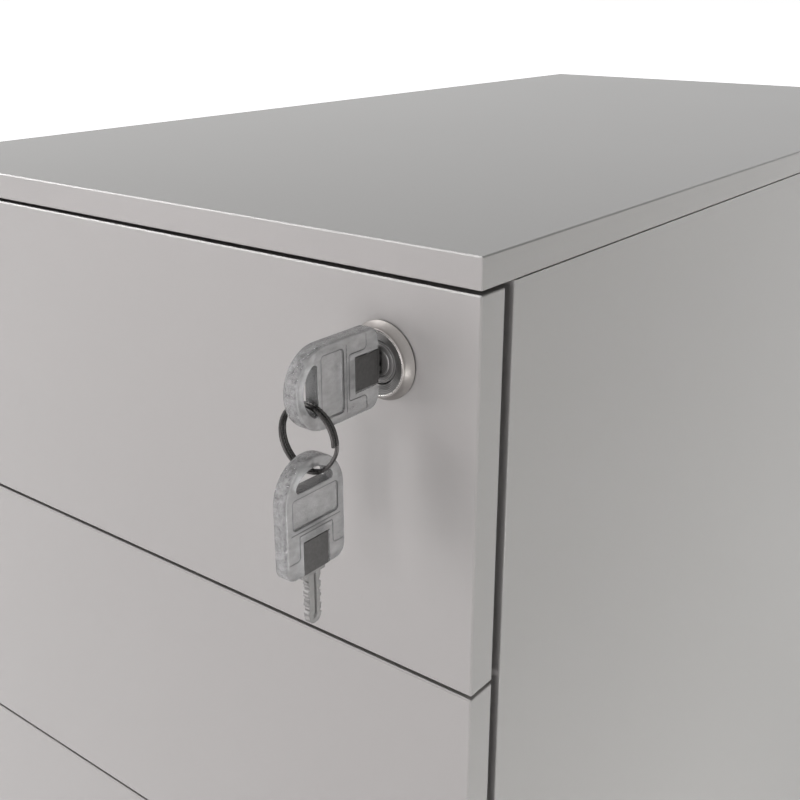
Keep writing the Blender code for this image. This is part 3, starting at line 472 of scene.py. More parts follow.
def turnedShape(profile, origin, axis, steps=64):
    # (radius, height) points turned about an axis: radius * (cos, sin) across, height along
    profile = np.asarray(profile, float)
    along = np.array(axis, float)
    across = np.array((0.0, 0.0, 1.0) if abs(along[2]) < 0.5 else (1.0, 0.0, 0.0))
    other = np.cross(along, across)
    t = np.linspace(0, 2 * math.pi, steps, endpoint=False)[None, :, None]
    radius, height = profile[:, None, :1], profile[:, None, 1:]
    rings = radius * (np.cos(t) * across + np.sin(t) * other) + height * along
    return shell(rings + np.array(origin, float))


def tube(path, radius, sides=14):
    # a round wire: circles of one radius, square to the path
    path = np.asarray(path, float)
    along = np.gradient(path, axis=0)
    along /= np.linalg.norm(along, axis=1, keepdims=True)
    side = np.cross(along, (0.0, 1.0, 0.0))
    side /= np.linalg.norm(side, axis=1, keepdims=True)
    up = np.cross(side, along)
    t = np.linspace(0, 2 * math.pi, sides, endpoint=False)[None, :, None]
    return shell(path[:, None] + radius * (np.cos(t) * side[:, None] + np.sin(t) * up[:, None]))


# folded pans: the top and the drawer fronts
topSheet = {"sheet": 1.0 * mm, "edge": 0.4 * mm, "corner": 0.5 * mm}
frontSheet = {"sheet": 1.0 * mm, "edge": 0.5 * mm, "corner": 0.55 * mm, "lockHole": 9.3 * mm}
panInside = {"bend": 0.15 * mm, "corner": 0.08 * mm, "rim": 0.3}   # rim: its rounding, by the sheet


def foldedPan(halfA, halfB, depth, d, origin, axes):
    # rounded rectangles that follow the sheet: over the edge, down the fold, round its rim, up inside
    sheet, edge, corner = d["sheet"], d["edge"], d["corner"]
    inner = max(edge - sheet, panInside["bend"])
    t = sweep(0, 90, 2)     # two points only: the painted edge reads as a thin flat chamfer
    soft = sheet * panInside["rim"]
    insets = np.concatenate([
        edge * (1 - np.sin(t)), [0, soft, sheet - soft, sheet],
        sheet + inner * (1 - np.cos(t)),
    ])
    heights = np.concatenate([
        -edge * (1 - np.cos(t)), [soft - depth, -depth, -depth, soft - depth],
        -sheet - inner * (1 - np.sin(t)),
    ])
    rings = [
        level(roundedRect(halfA - i, halfB - i, max(corner - i, panInside["corner"])), h)
        for i, h in zip(insets, heights)
    ]
    return shell(placed(rings, origin, *axes))


def makeTop():
    # a pan that lies open side down
    low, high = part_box("top_panel")
    origin = (0.0, (low.y + high.y) / 2, high.z)
    axes = ((1, 0, 0), (0, 1, 0), (0, 0, 1))
    shape = foldedPan(high.x, (high.y - low.y) / 2, high.z - low.z, topSheet, origin, axes)
    made = piece("top_pan", shape, steelPaint, "cabinet")
    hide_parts("top_panel")


def makeFront(number):
    # a pan that stands open side back, with the lock's hole through the first one
    node = f"drawer_{number}_front"
    low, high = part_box(node)
    origin = (0.0, low.y, (low.z + high.z) / 2)
    axes = ((1, 0, 0), (0, 0, 1), (0, -1, 0))
    shape = foldedPan(high.x, (high.z - low.z) / 2, high.y - low.y, frontSheet, origin, axes)
    made = rawObject(f"front_pan_{number}", *shape)
    if number == 1:
        radius, through = frontSheet["lockHole"], 5 * frontSheet["sheet"]
        hole = turnedShape([(radius, -through), (radius, through)], lockAxis, (0, 1, 0))
        carve(made, rawObject("hole", *hole))
    present(made, steelPaint, f"drawer_{number}")
    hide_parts(node)


makeTop()
for number in (1, 2, 3):
    makeFront(number)
print("top and drawer fronts folded")


# side panels: one bent sheet each, with flanges above and below
sideSheet = {
    "sheet": 1.0 * mm, "bend": 0.45 * mm, "return": 12 * mm, "post": 12.5 * mm,
    "leg": 25 * mm, "flange": 25 * mm, "flangeEdge": 0.2 * mm, "overlap": 0.2 * mm,
    "insideBend": 0.1 * mm,
}


def bentSheet(path, thickness, radius, steps=6):
    # both faces of a sheet along a path that always turns one way, its corners as quarter circles
    path = np.asarray(path, float)
    step = path[1:] - path[:-1]
    step /= np.linalg.norm(step, axis=1, keepdims=True)
    sign = math.copysign(1.0, step[0][0] * step[1][1] - step[0][1] * step[1][0])
    inward = np.stack([-step[:, 1], step[:, 0]], -1) * sign
    outer, inner = [path[:1]], [path[:1] + inward[:1] * thickness]
    t = sweep(0, 90, steps)[:, None]
    inside = max(radius - thickness, sideSheet["insideBend"])
    for i in range(1, len(path) - 1):
        both = inward[i - 1] + inward[i]
        spoke = -inward[i - 1] * np.cos(t) - inward[i] * np.sin(t)
        outer.append(path[i] + both * radius + spoke * radius)
        inner.append(path[i] + both * (thickness + inside) + spoke * inside)
    outer.append(path[-1:])
    inner.append(path[-1:] + inward[-1:] * thickness)
    return np.concatenate(outer + [np.concatenate(inner)[::-1]])


def makeSide(side, hand):
    # from above: the return behind, the side, the front post and the leg behind it
    d = sideSheet
    low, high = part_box(f"side_panel_{hand}")
    x = max(high.x, -low.x)
    path = [
        (x - d["return"], high.y), (x, high.y), (x, low.y), (x - d["post"], low.y),
        (x - d["post"], low.y + d["leg"]),
    ]
    section = bentSheet(path, d["sheet"], d["bend"])
    section[:, 0] *= side
    shapes = [shell([level(section, low.z), level(section, high.z)])]
    reach = x - d["sheet"] + d["overlap"]
    inset = d["sheet"] + d["overlap"]
    near, far = sorted((side * (x - d["flange"]), side * reach))
    for z in (low.z, high.z - d["sheet"]):
        corners = (near, low.y + inset, z), (far, high.y - inset, z + d["sheet"])
        shapes.append(boxShape(*corners, d["flangeEdge"]))
    made = piece(f"bent_side_{hand}", gather(*shapes), steelPaint, "cabinet")
    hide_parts(f"side_panel_{hand}")


makeSide(1, "right")
makeSide(-1, "left")
print("side panels bent")


# the lock: rosette, rim, barrel and turning plug, as radii and heights along its axis
lock = {
    "foot": 12.2 * mm, "rim": 10.3 * mm, "height": 3.9 * mm, "footHeight": 0.6 * mm,
    "land": 0.6 * mm, "recess": 1.4 * mm, "barrel": 9.0 * mm, "length": 29.0 * mm,
    "plug": 6.5 * mm, "gap": 0.3 * mm, "slot": (2.8 * mm, 6.2 * mm, 13.6 * mm),
    "footEdge": (0.25 * mm, 0.2 * mm), "lip": (0.4 * mm, 0.05 * mm), "hollow": 0.12 * mm,
    "seat": (0.2 * mm, 0.02 * mm), "dishEdge": 0.1 * mm, "bead": 0.3 * mm,
    "beadSink": 0.3 * mm, "plugEdge": 0.1 * mm, "plugRings": (5.7 * mm, 4.2 * mm),
    "groove": (0.15 * mm, 0.06 * mm), "flat": (3.4 * mm, 0.4 * mm),
}


def makeLock():
    # turned from a profile: foot, hollow cone, rounded lip, hollow dish, then back along the barrel
    d = lock
    out = (0, -1, 0)
    foot, rim, height, land = d["foot"], d["rim"], d["height"], d["land"]
    (edge, rise), (lip, inward), (step, sink) = d["footEdge"], d["lip"], d["seat"]
    base = [(foot - edge, d["gap"]), (foot, d["gap"] + rise), (foot, d["footHeight"])]
    # the cone: a straight line from the foot to the lip, less half a sine wave
    s = np.linspace(0, 1, 8)[1:]
    coneTop, coneEnd = height - lip - inward, rim + lip - inward
    cone = np.column_stack([
        foot + (coneEnd - foot) * s - d["hollow"] * np.sin(math.pi * s),
        d["footHeight"] + (coneTop - d["footHeight"]) * s,
    ])
    t = sweep(0, 90, 6)
    lips = np.column_stack([rim - inward + lip * np.cos(t), height - lip + lip * np.sin(t)])
    bore = d["plug"] + d["gap"]
    inside, dishTop = rim - land, height - step
    outside = [(d["barrel"], d["gap"]), *base, *cone.tolist(), *lips.tolist()]
    seat = [(rim - step, height - sink), (inside, dishTop)]
    back = [(bore, -d["length"]), (d["barrel"], -d["length"])]
    # the dish: a quarter of a sine wave from the rim down to the plug
    s = np.linspace(0, 1, 7)[1:]
    floor = np.column_stack([
        inside + (bore - inside) * s,
        dishTop - (d["recess"] - step) * np.sin(s * math.pi / 2),
    ]).tolist()
    profile = outside + seat + floor + back
    shape = quadsOf(turnedShape(profile + profile[:1], lockAxis, out, 96))
    made = piece("lock_rosette", shape, satinNickel, "drawer_1", 30.0)
    made.data.materials.append(plugMetal)
    centres = np.array([p.center for p in made.data.polygons]) - np.array(lockAxis)
    reach = np.hypot(centres[:, 0], centres[:, 2])
    inDish = (reach < inside - d["dishEdge"]) & (-centres[:, 1] > 0)
    made.data.polygons.foreach_set("material_index", inDish.astype(np.int32))
    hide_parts("lock_housing")
    # the polished rim, an ellipse in section, stands just proud of the rosette's edge
    t = np.linspace(0, 2 * math.pi, 17)
    band = np.column_stack([
        rim - land / 2 + land / 2 * np.cos(t), height - d["beadSink"] + d["bead"] * np.sin(t)
    ])
    shape = quadsOf(turnedShape(band, lockAxis, out, 96))
    piece("lock_rim", shape, rimMetal, "drawer_1", 60.0)


def makePlug():
    # a turned plug with two shallow grooves on its face and the key's slot cut into it
    d = lock
    face = d["height"] - d["recess"]
    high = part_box("lock_rotor")[1]
    bevel = d["plugEdge"]
    edge = [(d["plug"], lockAxis.y - high.y), (d["plug"], face - bevel), (d["plug"] - bevel, face)]
    half, deep = d["groove"]
    grooves = []
    for radius in d["plugRings"]:
        grooves += [(radius + half, face), (radius, face - deep), (radius - half, face)]
    flat = [(radius, face) for radius in d["flat"]]
    made = rawObject("lock_plug", *turnedShape(edge + grooves + flat, lockAxis, (0, -1, 0), 72))
    width, tall, length = d["slot"]
    slot = boxShape(
        (lockAxis.x - width / 2, lockAxis.y - 2 * face, lockAxis.z - tall / 2),
        (lockAxis.x + width / 2, lockAxis.y + length, lockAxis.z + tall / 2),
    )
    carve(made, rawObject("slot", *slot))
    present(made, plugMetal, "lock_rotor", 30.0)
    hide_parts("lock_rotor")


makeLock()
makePlug()
print("lock turned")


# keys: clear moulded head, dark shoulder, milled blade. A key lies along u, from its round end to
# its point, with v across it and w through its thickness; u starts at the round end's centre
key = {
    "radius": 12.4 * mm, "end": 23.1 * mm, "corner": 4.0 * mm, "thickness": 5.0 * mm,
    "edge": 0.9 * mm, "play": 0.3 * mm, "notchCorner": 0.25 * mm, "pocketCorner": 0.15 * mm,
    "hole": 8.9 * mm, "chord": 3.4 * mm, "holeCorner": 1.2 * mm, "flare": 0.5 * mm,
    "panel": (-1.8 * mm, 7.3 * mm), "panelHalf": 9.3 * mm, "panelDepth": 0.6 * mm,
    "panelCorner": 1.2 * mm, "draft": 0.15 * mm,
    "line": 0.32 * mm, "lineDepth": 0.24 * mm, "lineSpace": 0.1 * mm,
    "shadeStrip": (0.05 * mm, 0.02 * mm, 0.06 * mm),                # narrower, off the floor, sunk
    # the entry below sizes the dark strips of painted shade that fill the moulded lines
    "across": (8.55 * mm, 10.2 * mm),                          # the line across: place, half length
    "frame": (9.7 * mm, 6.9 * mm, 17.2 * mm, 11.3 * mm),       # top, side, foot, end
    "frameBends": (0.6 * mm, 1.3 * mm),
    "skin": (1.2 * mm, 1.5 * mm, 0.3 * mm),                    # reach of the rim's and wall's skins
    "shoulder": (10.6 * mm, 10.4 * mm), "shoulderEdge": 0.3 * mm,
    "raised": (1.2 * mm, 0.1 * mm, 0.2 * mm),                  # height, set back, edge
    "tang": (3.8 * mm, 8.0 * mm, 0.2 * mm), "overlap": 0.5 * mm,
    "collar": (1.9 * mm, 9.8 * mm, 0.1 * mm), "metal": 2.2 * mm,
    "blade": (18.0 * mm, 5.6 * mm), "bevel": 0.15 * mm, "tip": (2.2 * mm, 0.34),
    "cuts": 0.6 * mm, "waves": (0.55 * mm, 0.23 * mm), "uncut": (3.2 * mm, 1.6 * mm),
    "cutRamp": 0.5 * mm, "shift": 1.7 * mm,                    # shift: between the two edges' cuts
    "groove": (0.85 * mm, 0.55 * mm, 0.7 * mm),                # half widths at its lip and floor, depth
    "grooveEnds": ((1.2 * mm, 0.8 * mm), (1.5 * mm, 1.0 * mm)),
}


def headOutline(inset):
    # half a circle, two long sides and two round corners, all moved inwards
    radius, end = key["radius"] - inset, key["end"] - inset
    corner = max(key["corner"] - inset, 0.2 * mm)
    u, v = end - corner, radius - corner
    return np.concatenate([
        arcPoints((0, 0), radius, 90, 270, 33),
        arcPoints((u, -v), corner, 270, 360, 9),
        arcPoints((u, v), corner, 0, 90, 9),
    ])


def holeOutline(grow):
    # a circle's segment with round corners: the corner circle touches the chord and the circle
    radius, chord, corner = key["hole"] + grow, key["chord"] - grow, key["holeCorner"] + grow
    u = -chord - corner
    v = math.sqrt((radius - corner) ** 2 - u * u)
    lean = math.degrees(math.atan2(v, u))
    return np.concatenate([
        arcPoints((0, 0), radius, lean, 360 - lean, 25),
        arcPoints((u, -v), corner, 360 - lean, 360, 7),
        arcPoints((u, v), corner, 0, lean, 7),
    ])


def channel(path, width, low, high, closed=False):
    # a rectangle carried along a flat path: half the width to each side of it, between two heights
    path = np.asarray(path, float)
    ends = np.concatenate([path[-1:], path, path[:1]]) if closed else path
    along = np.gradient(ends, axis=0)[1:-1] if closed else np.gradient(ends, axis=0)
    along /= np.linalg.norm(along, axis=1, keepdims=True)
    side = np.column_stack([-along[:, 1], along[:, 0]]) * width / 2
    corners = ((path - side, low), (path + side, low), (path + side, high), (path - side, high))
    rings = np.stack([level(flat, height) for flat, height in corners], 1)
    if closed:
        return shell(np.concatenate([rings, rings[:1]]), capped=False)
    return shell(rings)


def headLines():
    # the moulded lines on a face: round the panel, the frame round the shoulder, and one across
    (near, far), half, space = key["panel"], key["panelHalf"], key["lineSpace"]
    panel = roundedRect((far - near) / 2 + space, half + space, key["panelCorner"])
    top, side, foot, end = key["frame"]
    tight, wide = key["frameBends"]
    frameSide = np.concatenate([
        [(foot, end), (foot, (end + side) / 2)],
        arcPoints((foot - wide, side + wide), wide, 0, -90, 8),
        [((foot + top) / 2, side)],
        arcPoints((top + tight, side - tight), tight, 90, 180, 6),
        [(top, 0.0)],
    ])
    frame = np.concatenate([frameSide, frameSide[-2::-1] * (1, -1)])
    place, reach = key["across"]
    across = np.column_stack([np.full(5, place), np.linspace(-reach, reach, 5)])
    return [(panel + ((near + far) / 2, 0.0), True), (frame, False), (across, False)]


def headSkins(made, origin, axes):
    # 0 on the faces, 1 on the rim, 2 on the hole's wall, which is given a dark plastic as painted
    # shade: told apart by each face's lean and place
    beyond, outside, within = key["skin"]
    lean = np.abs(np.array([p.normal for p in made.data.polygons]) @ np.array(axes[2], float))
    spot = np.array([p.center for p in made.data.polygons]) - np.array(origin)
    u, v = np.array(axes[:2], float) @ spot.T
    reach = np.hypot(u, v)
    outer = (np.abs(v) > key["radius"] - beyond) | (reach > key["hole"] + outside)
    wall = (reach < key["hole"] + within) & (u < 0.1 * mm - key["chord"])
    return np.where(lean < 0.8, np.where(wall, 2, np.where(outer, 1, 0)), 0)


def makeKeyHead(name, node, origin, axes, body):
    # a slab with rounded edges, less the hole, the shoulder's notch, the tang's pocket, and on each
    # face the sunk panel and the moulded lines, which dark strips fill as painted shade for the lines'
    # shadow
    half, play = key["thickness"] / 2, key["play"]
    shape = shell(slab(headOutline, key["thickness"], key["edge"]))
    made = rawObject(name, *moved(shape, origin, axes))
    # the hole flares at both faces by a quarter circle
    t = sweep(0, 90, 4)
    flare = key["flare"]
    over, down = flare * (1 - np.sin(t)), half - flare * (1 - np.cos(t))
    grows = np.concatenate([[flare], over, over[::-1], [flare]])
    heights = np.concatenate([[half + flare], down, -down[::-1], [-half - flare]])
    tools = [shell([level(holeOutline(g), h) for g, h in zip(grows, heights)])]
    length, width = key["shoulder"]
    notch, notchHalf = key["end"] - length - play, width / 2 + play
    low, high = (notch, -notchHalf, -2 * half), (key["end"] + half, notchHalf, 2 * half)
    tools.append(boxShape(low, high, key["notchCorner"]))
    grip, tangWidth, _ = key["tang"]
    pocket, deep = tangWidth / 2 + play, key["metal"] / 2 + play
    low, high = (notch - grip - play, -pocket, -deep), (notch + play, pocket, deep)
    tools.append(boxShape(low, high, key["pocketCorner"]))
    near, far = key["panel"]
    panel = lambda inset: roundedRect(
        (far - near) / 2 - inset, key["panelHalf"] - inset, key["panelCorner"] - inset
    ) + ((near + far) / 2, 0.0)
    line, deep = key["line"], key["lineDepth"]
    narrower, lift, sink = key["shadeStrip"]
    shadeStrips = []
    for side in (1, -1):
        face = side * half
        floor = level(panel(key["draft"]), side * (half - key["panelDepth"]))
        tools.append(shell([floor, level(panel(0.0), face), level(panel(0.0), 2 * face)]))
        for path, closed in headLines():
            low, high = sorted((face - side * deep, face + side * deep))
            tools.append(channel(path, line, low, high, closed))
            low, high = sorted((face - side * (deep - lift), face - side * sink))
            shadeStrips.append(channel(path, line - narrower, low, high, closed))
    carve(made, *[rawObject("tool", *moved(shape, origin, axes)) for shape in tools])
    present(made, keyPlastic, body, 32.0)
    made.data.materials.append(keyRim)
    # the hole's wall takes the dark plastic: painted shade for the shadow inside the hole
    made.data.materials.append(keyWallShade)
    skins = headSkins(made, origin, axes)
    made.data.polygons.foreach_set("material_index", skins.astype(np.int32))
    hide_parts(node)
    # the dark strips: painted shade for the lines' shadow
    strips = moved(gather(*shadeStrips), origin, axes)
    piece(name + "_line_shade", strips, lineShadePlastic, body)


def rises(distance, over):
    # 0 up to a place, then evenly up to 1
    return np.clip(distance / over, 0, 1)


def bladeHalf(u, shift):
    # one edge of the blade: half its width, less two added sine waves made steeper, and narrowed
    # to the point by a square root
    length, width = key["blade"]
    start, end = key["uncut"]
    long, short = key["waves"]
    taper, blunt = key["tip"]
    s = u - key["end"]
    wave = np.sin((s + shift) / long) + 0.8 * np.sin((s - shift) / short)
    depth = key["cuts"] * (0.5 + 0.5 * np.tanh(1.6 * wave))
    inside = rises(s - start, key["cutRamp"]) * rises(length - end - s, key["cutRamp"])
    point = rises(length - s, taper)
    return (width / 2 - depth * inside) * (blunt + (1 - blunt) * np.sqrt(point))


def makeKeyBlade(name, node, origin, axes, body):
    # across the blade: its two faces, each with a groove along the middle, and bevelled edges
    end, thick, bevel = key["end"], key["metal"] / 2, key["bevel"]
    u = np.linspace(end, end + key["blade"][0], 121)
    upper, lower = bladeHalf(u, 0.0), bladeHalf(u, key["shift"])
    lip, floor, deep = key["groove"]
    (start, over), (stop, under) = key["grooveEnds"]
    dip = deep * rises(u - u[0] - start, over) * rises(u[-1] - stop - u, under)
    face = [
        (upper - bevel, thick), (lip, thick), (floor, thick - dip), (-floor, thick - dip),
        (-lip, thick), (bevel - lower, thick), (-lower, thick - bevel),
    ]
    across = face + [(v, -w) for v, w in face[::-1]]
    across += [(upper, bevel - thick), (upper, thick - bevel)]
    rings = np.stack([np.stack(np.broadcast_arrays(u, v, w), -1) for v, w in across], 1)
    made = piece(name, moved(shell(rings), origin, axes), keySteel, body, 40.0)
    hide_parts(node)
    overlap = key["overlap"]
    collar, width, thinner = key["collar"]
    neck = boxShape((end - overlap, -width / 2, thinner - thick),
                    (end + collar, width / 2, thick - thinner), bevel)
    piece(name + "_collar", moved(neck, origin, axes), keySteel, body)
    # shoulder and tang: a rough dark square, raised on both faces
    length, width = key["shoulder"]
    grip, tangWidth, tangEdge = key["tang"]
    raised, back, raisedEdge = key["raised"]
    start, half, proud = end - length, width / 2, thick + raised
    tang = gather(
        boxShape((start, -half, -thick), (end, half, thick), key["shoulderEdge"]),
        boxShape((start - grip, -tangWidth / 2, -thick),
                 (start + overlap, tangWidth / 2, thick), tangEdge),
        boxShape((start + back, back - half, -proud), (end - back, half - back, proud), raisedEdge),
    )
    made = piece(name + "_tang", moved(tang, origin, axes), tangSteel, body)
    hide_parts(node)


def makeKeys():
    # the first key stands out of the lock; the second hangs down, round end up
    low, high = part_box("key_1_head")
    origin = ((low.x + high.x) / 2, low.y + key["radius"], (low.z + high.z) / 2)
    axes = ((0, 1, 0), (0, 0, 1), (1, 0, 0))
    makeKeyHead("key_1_clear_head", "key_1_head", origin, axes, "lock_rotor")
    makeKeyBlade("key_1_steel", "key_1_blade", origin, axes, "lock_rotor")
    low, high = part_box("key_2_head")
    origin = ((low.x + high.x) / 2, (low.y + high.y) / 2, high.z - key["radius"])
    axes = ((0, 0, -1), (0, 1, 0), (1, 0, 0))
    makeKeyHead("key_2_clear_head", "key_2_head", origin, axes, "key_2")
    makeKeyBlade("key_2_steel", "key_2_blade", origin, axes, "key_2")


makeKeys()
print("keys cut")


# split ring: one wire, two turns side by side, turns and crossing in degrees
ring = {"wire": 0.58 * mm, "pitch": 1.5 * mm, "turns": 660, "crossing": 60}


def makeRing():
    # a circle whose wire steps aside by one pitch, smoothly, where the two turns cross
    low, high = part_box("key_ring")
    centre = (low + high) / 2
    radius = (high.z - low.z) / 2 - ring["wire"]
    degrees = np.linspace(0, ring["turns"], 265)
    start = 360 - ring["crossing"]
    share = np.clip((degrees - start) / ring["crossing"], 0, 1)
    across = ring["pitch"] * (share * share * (3 - 2 * share) - 0.5)
    t = np.radians(degrees)
    path = np.column_stack([radius * np.cos(t), across, radius * np.sin(t)]) + np.array(centre)
    made = piece("split_ring", tube(path, ring["wire"]), ringSteel, "key_ring", 50.0)
    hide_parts("key_ring")


makeRing()
print("ring wound")


# pencil tray: a moulded tray with a lip on each side and two ribs
pencil = {
    "wall": 1.6 * mm, "lip": (1.6 * mm, 1.5 * mm), "lipEdge": 0.3 * mm, "step": 0.1 * mm,
    "lipUnder": (0.02 * mm, 1.0 * mm), "corner": 5 * mm, "tightest": 0.6 * mm,
    "floorRadius": (3.0 * mm, 2.36 * mm),                           # outside and inside
    "rib": 1.4 * mm, "ribs": (-0.33, 0.30), "ribDrop": 3 * mm,      # ribs: shares of the half width
    "ribSink": 1.28 * mm, "ribEdge": 0.5 * mm,
}


def makePencilTray():
    # rounded rectangles: over the lip, down the outside to the floor, and back up the inside
    d = pencil
    low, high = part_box("pencil_tray")
    centre = (low + high) / 2
    reach, lip = d["lip"]
    body, halfB = (high.x - low.x) / 2 - reach, (high.y - low.y) / 2
    depth, wall, edge = high.z - low.z, d["wall"], d["lipEdge"]
    t = sweep(0, 90, 6)
    outer, inner = d["floorRadius"]
    first, second = d["lipUnder"]
    # insets from the body's outside; the lip's are negative
    insets = np.concatenate([
        [edge - reach, -reach, -reach, 0.0, 0.0], outer * (1 - np.cos(t)),
        wall + inner * (1 - np.cos(t[::-1])), [wall, wall - edge],
    ])
    heights = np.concatenate([
        [0.0, -edge, -lip, -lip - first, -lip - second], -depth + outer - outer * np.sin(t),
        -depth + wall + inner - inner * np.sin(t[::-1]), [-edge, 0.0],
    ])
    rings = []
    for inset, height in zip(insets, heights):
        inward = max(inset, 0.0)
        back = halfB - inward - (d["step"] if inset < 0 else 0.0)
        corner = max(d["corner"] - inward, d["tightest"])
        rings.append(level(roundedRect(body - inset, back, corner), height))
    # the band between the outside's last ring and the inside's first gives way to two floors
    points, faces = shell(rings + rings[:1], capped=False)
    columns = len(rings[0])
    under = 5 + len(t) - 1
    faces = [f for f in faces if not (f[0] // columns == under and f[2] // columns == under + 1)]
    faces.append(list(range(under * columns, (under + 1) * columns)))
    faces.append(list(range((under + 1) * columns, (under + 2) * columns))[::-1])
    shapes = [(points + (centre.x, centre.y, high.z), faces)]
    sunk = d["ribSink"]
    for share in d["ribs"]:
        x = centre.x + share * body
        shapes.append(boxShape(
            (x - d["rib"] / 2, low.y + sunk, low.z + sunk),
            (x + d["rib"] / 2, high.y - sunk, high.z - d["ribDrop"]), d["ribEdge"],
        ))
    made = piece("pencil_tray_moulding", gather(*shapes), blackPlastic, "drawer_1")
    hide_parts("pencil_tray")


makePencilTray()
print("pencil tray moulded")


# castors: hoods, twin wheels, brake pedals, plate bolts. The stem's foot is the middle, with y
# along the trail and the axle along x
castor = {
    "trail": 18 * mm, "wheel": 25 * mm, "hood": 28.5 * mm, "hoodInside": 26.2 * mm, "skirt": 20.0,
    "web": 7.5 * mm, "play": 0.6 * mm, "width": 13 * mm, "neck": 9 * mm, "edge": 3.2 * mm,
    "stem": (4.3 * mm, 18 * mm), "axle": 4.3 * mm, "bore": 4.0 * mm, "solid": 0.3 * mm,
    "neckBevel": 0.8 * mm, "roomBevel": 1.0 * mm, "beyond": (8 * mm, 5 * mm), "hubJoin": 1.0 * mm,
    "tyre": (18.2 * mm, 2.2 * mm, 0.3 * mm),                # bead radius, shoulder, set back
    "tread": (3.0 * mm, 2.6 * mm, 2.2 * mm, 1.8 * mm), "treadDepth": 0.5 * mm,
    "hub": (                                                # radius, depth below the outer face
        (18.0 * mm, 0.0), (17.0 * mm, 0.0), (16.2 * mm, 1.6 * mm), (14.0 * mm, 2.5 * mm),
        (7.5 * mm, 2.5 * mm), (6.8 * mm, 1.2 * mm), (5.6 * mm, 0.9 * mm), (1.4 * mm, 0.9 * mm),
        (1.0 * mm, 1.5 * mm), (0.2 * mm, 1.5 * mm),
    ),
    "bolt": (                                               # radius, height on the plate's underside
        (0.3 * mm, -1.9 * mm), (2.0 * mm, -1.7 * mm), (3.0 * mm, -0.9 * mm), (3.4 * mm, 0.0),
        (3.4 * mm, 0.5 * mm),
    ),
    "boltSpacing": 28 * mm, "plate": 2.5 * mm,
}
pedal = {
    "height": 40 * mm, "half": 9 * mm, "barrel": 2.8 * mm, "barrelEdge": (2.3 * mm, 0.5 * mm),
    "ear": 2.4 * mm, "play": 0.3 * mm, "length": 15 * mm, "pin": 1.2 * mm, "pinHole": 1.5 * mm,
    "rise": 0.7, "edge": 0.9 * mm, "ribEdge": 0.3 * mm, "earEdge": 0.6 * mm,     # rise: by the barrel
    "thickness": 2.8 * mm, "ribs": 4, "ribStart": 5.2 * mm, "ribPitch": 2.3 * mm, "rib": 1.1 * mm,
    "ribInset": 1.4 * mm, "ribHeight": (0.6 * mm, 0.45 * mm),        # below and above the pedal's top
}
pivot = castor["trail"] + castor["hood"] + pedal["barrel"] + pedal["play"]


def hoodOutline(inset):
    # an arc about the axle, closed by a straight line under the skirt
    radius = castor["hood"] - inset
    return arcPoints((0, 0), radius, -castor["skirt"], 180 + castor["skirt"], 49)


def makeHood(name, node, origin, axes, body, top, braked):
    # the outline made a slab across the axle, with a neck round the stem and two ears for the
    # pedal, less the wheels' rooms and the holes for stem, axle and pin
    d = castor
    width = d["web"] + 2 * d["play"] + d["width"]
    flat = slab(hoodOutline, 2 * width, d["edge"])
    arch = np.stack([flat[..., 2], flat[..., 0] + d["trail"], flat[..., 1] + d["wheel"]], -1)
    made = rawObject(name, *moved(shell(arch), origin, axes))
    low = d["wheel"] + math.sqrt(d["hoodInside"] ** 2 - d["trail"] ** 2)
    solid, wide, bevel = d["solid"], d["neck"], d["neckBevel"]
    neck = [(solid, low), (wide, low), (wide, top - bevel), (wide - bevel, top), (solid, top)]
    joins = [turnedShape(neck, (0, 0, 0), (0, 0, 1), 48)]
    ear, start = pedal["barrel"] + pedal["play"], pedal["half"] + pedal["play"]
    for side in (-1, 1) if braked else ():
        near, far = sorted((side * start, side * (start + pedal["ear"])))
        joins.append(boxShape(
            (near, d["trail"] + d["hood"] / 2, pedal["height"] - ear),
            (far, pivot + ear, pedal["height"] + ear), pedal["earEdge"],
        ))
    carve(made, *[rawObject("joined", *moved(shape, origin, axes)) for shape in joins],
          operation="UNION")
    axle = (0, d["trail"], d["wheel"])
    lip, step = d["hoodInside"], d["roomBevel"]
    outwards, upwards = d["beyond"]
    far = width + outwards
    room = [(solid, 0), (lip - step, 0), (lip, step), (lip, far), (solid, far)]
    stem, stemFoot = d["stem"]
    tools = [
        turnedShape(room, (side * d["web"], *axle[1:]), (side, 0, 0), 72) for side in (-1, 1)
    ]
    tools.append(turnedShape([(stem, stemFoot), (stem, top + upwards)], (0, 0, 0), (0, 0, 1), 32))
    tools.append(turnedShape([(d["axle"], -width), (d["axle"], width)], axle, (1, 0, 0), 32))
    if braked:
        hole, pin = pedal["pinHole"], (0, pivot, pedal["height"])
        tools.append(turnedShape([(hole, -width), (hole, width)], pin, (1, 0, 0), 20))
    carve(made, *[rawObject("tool", *moved(shape, origin, axes)) for shape in tools])
    present(made, blackPlastic, body, 32.0)
    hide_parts(node)


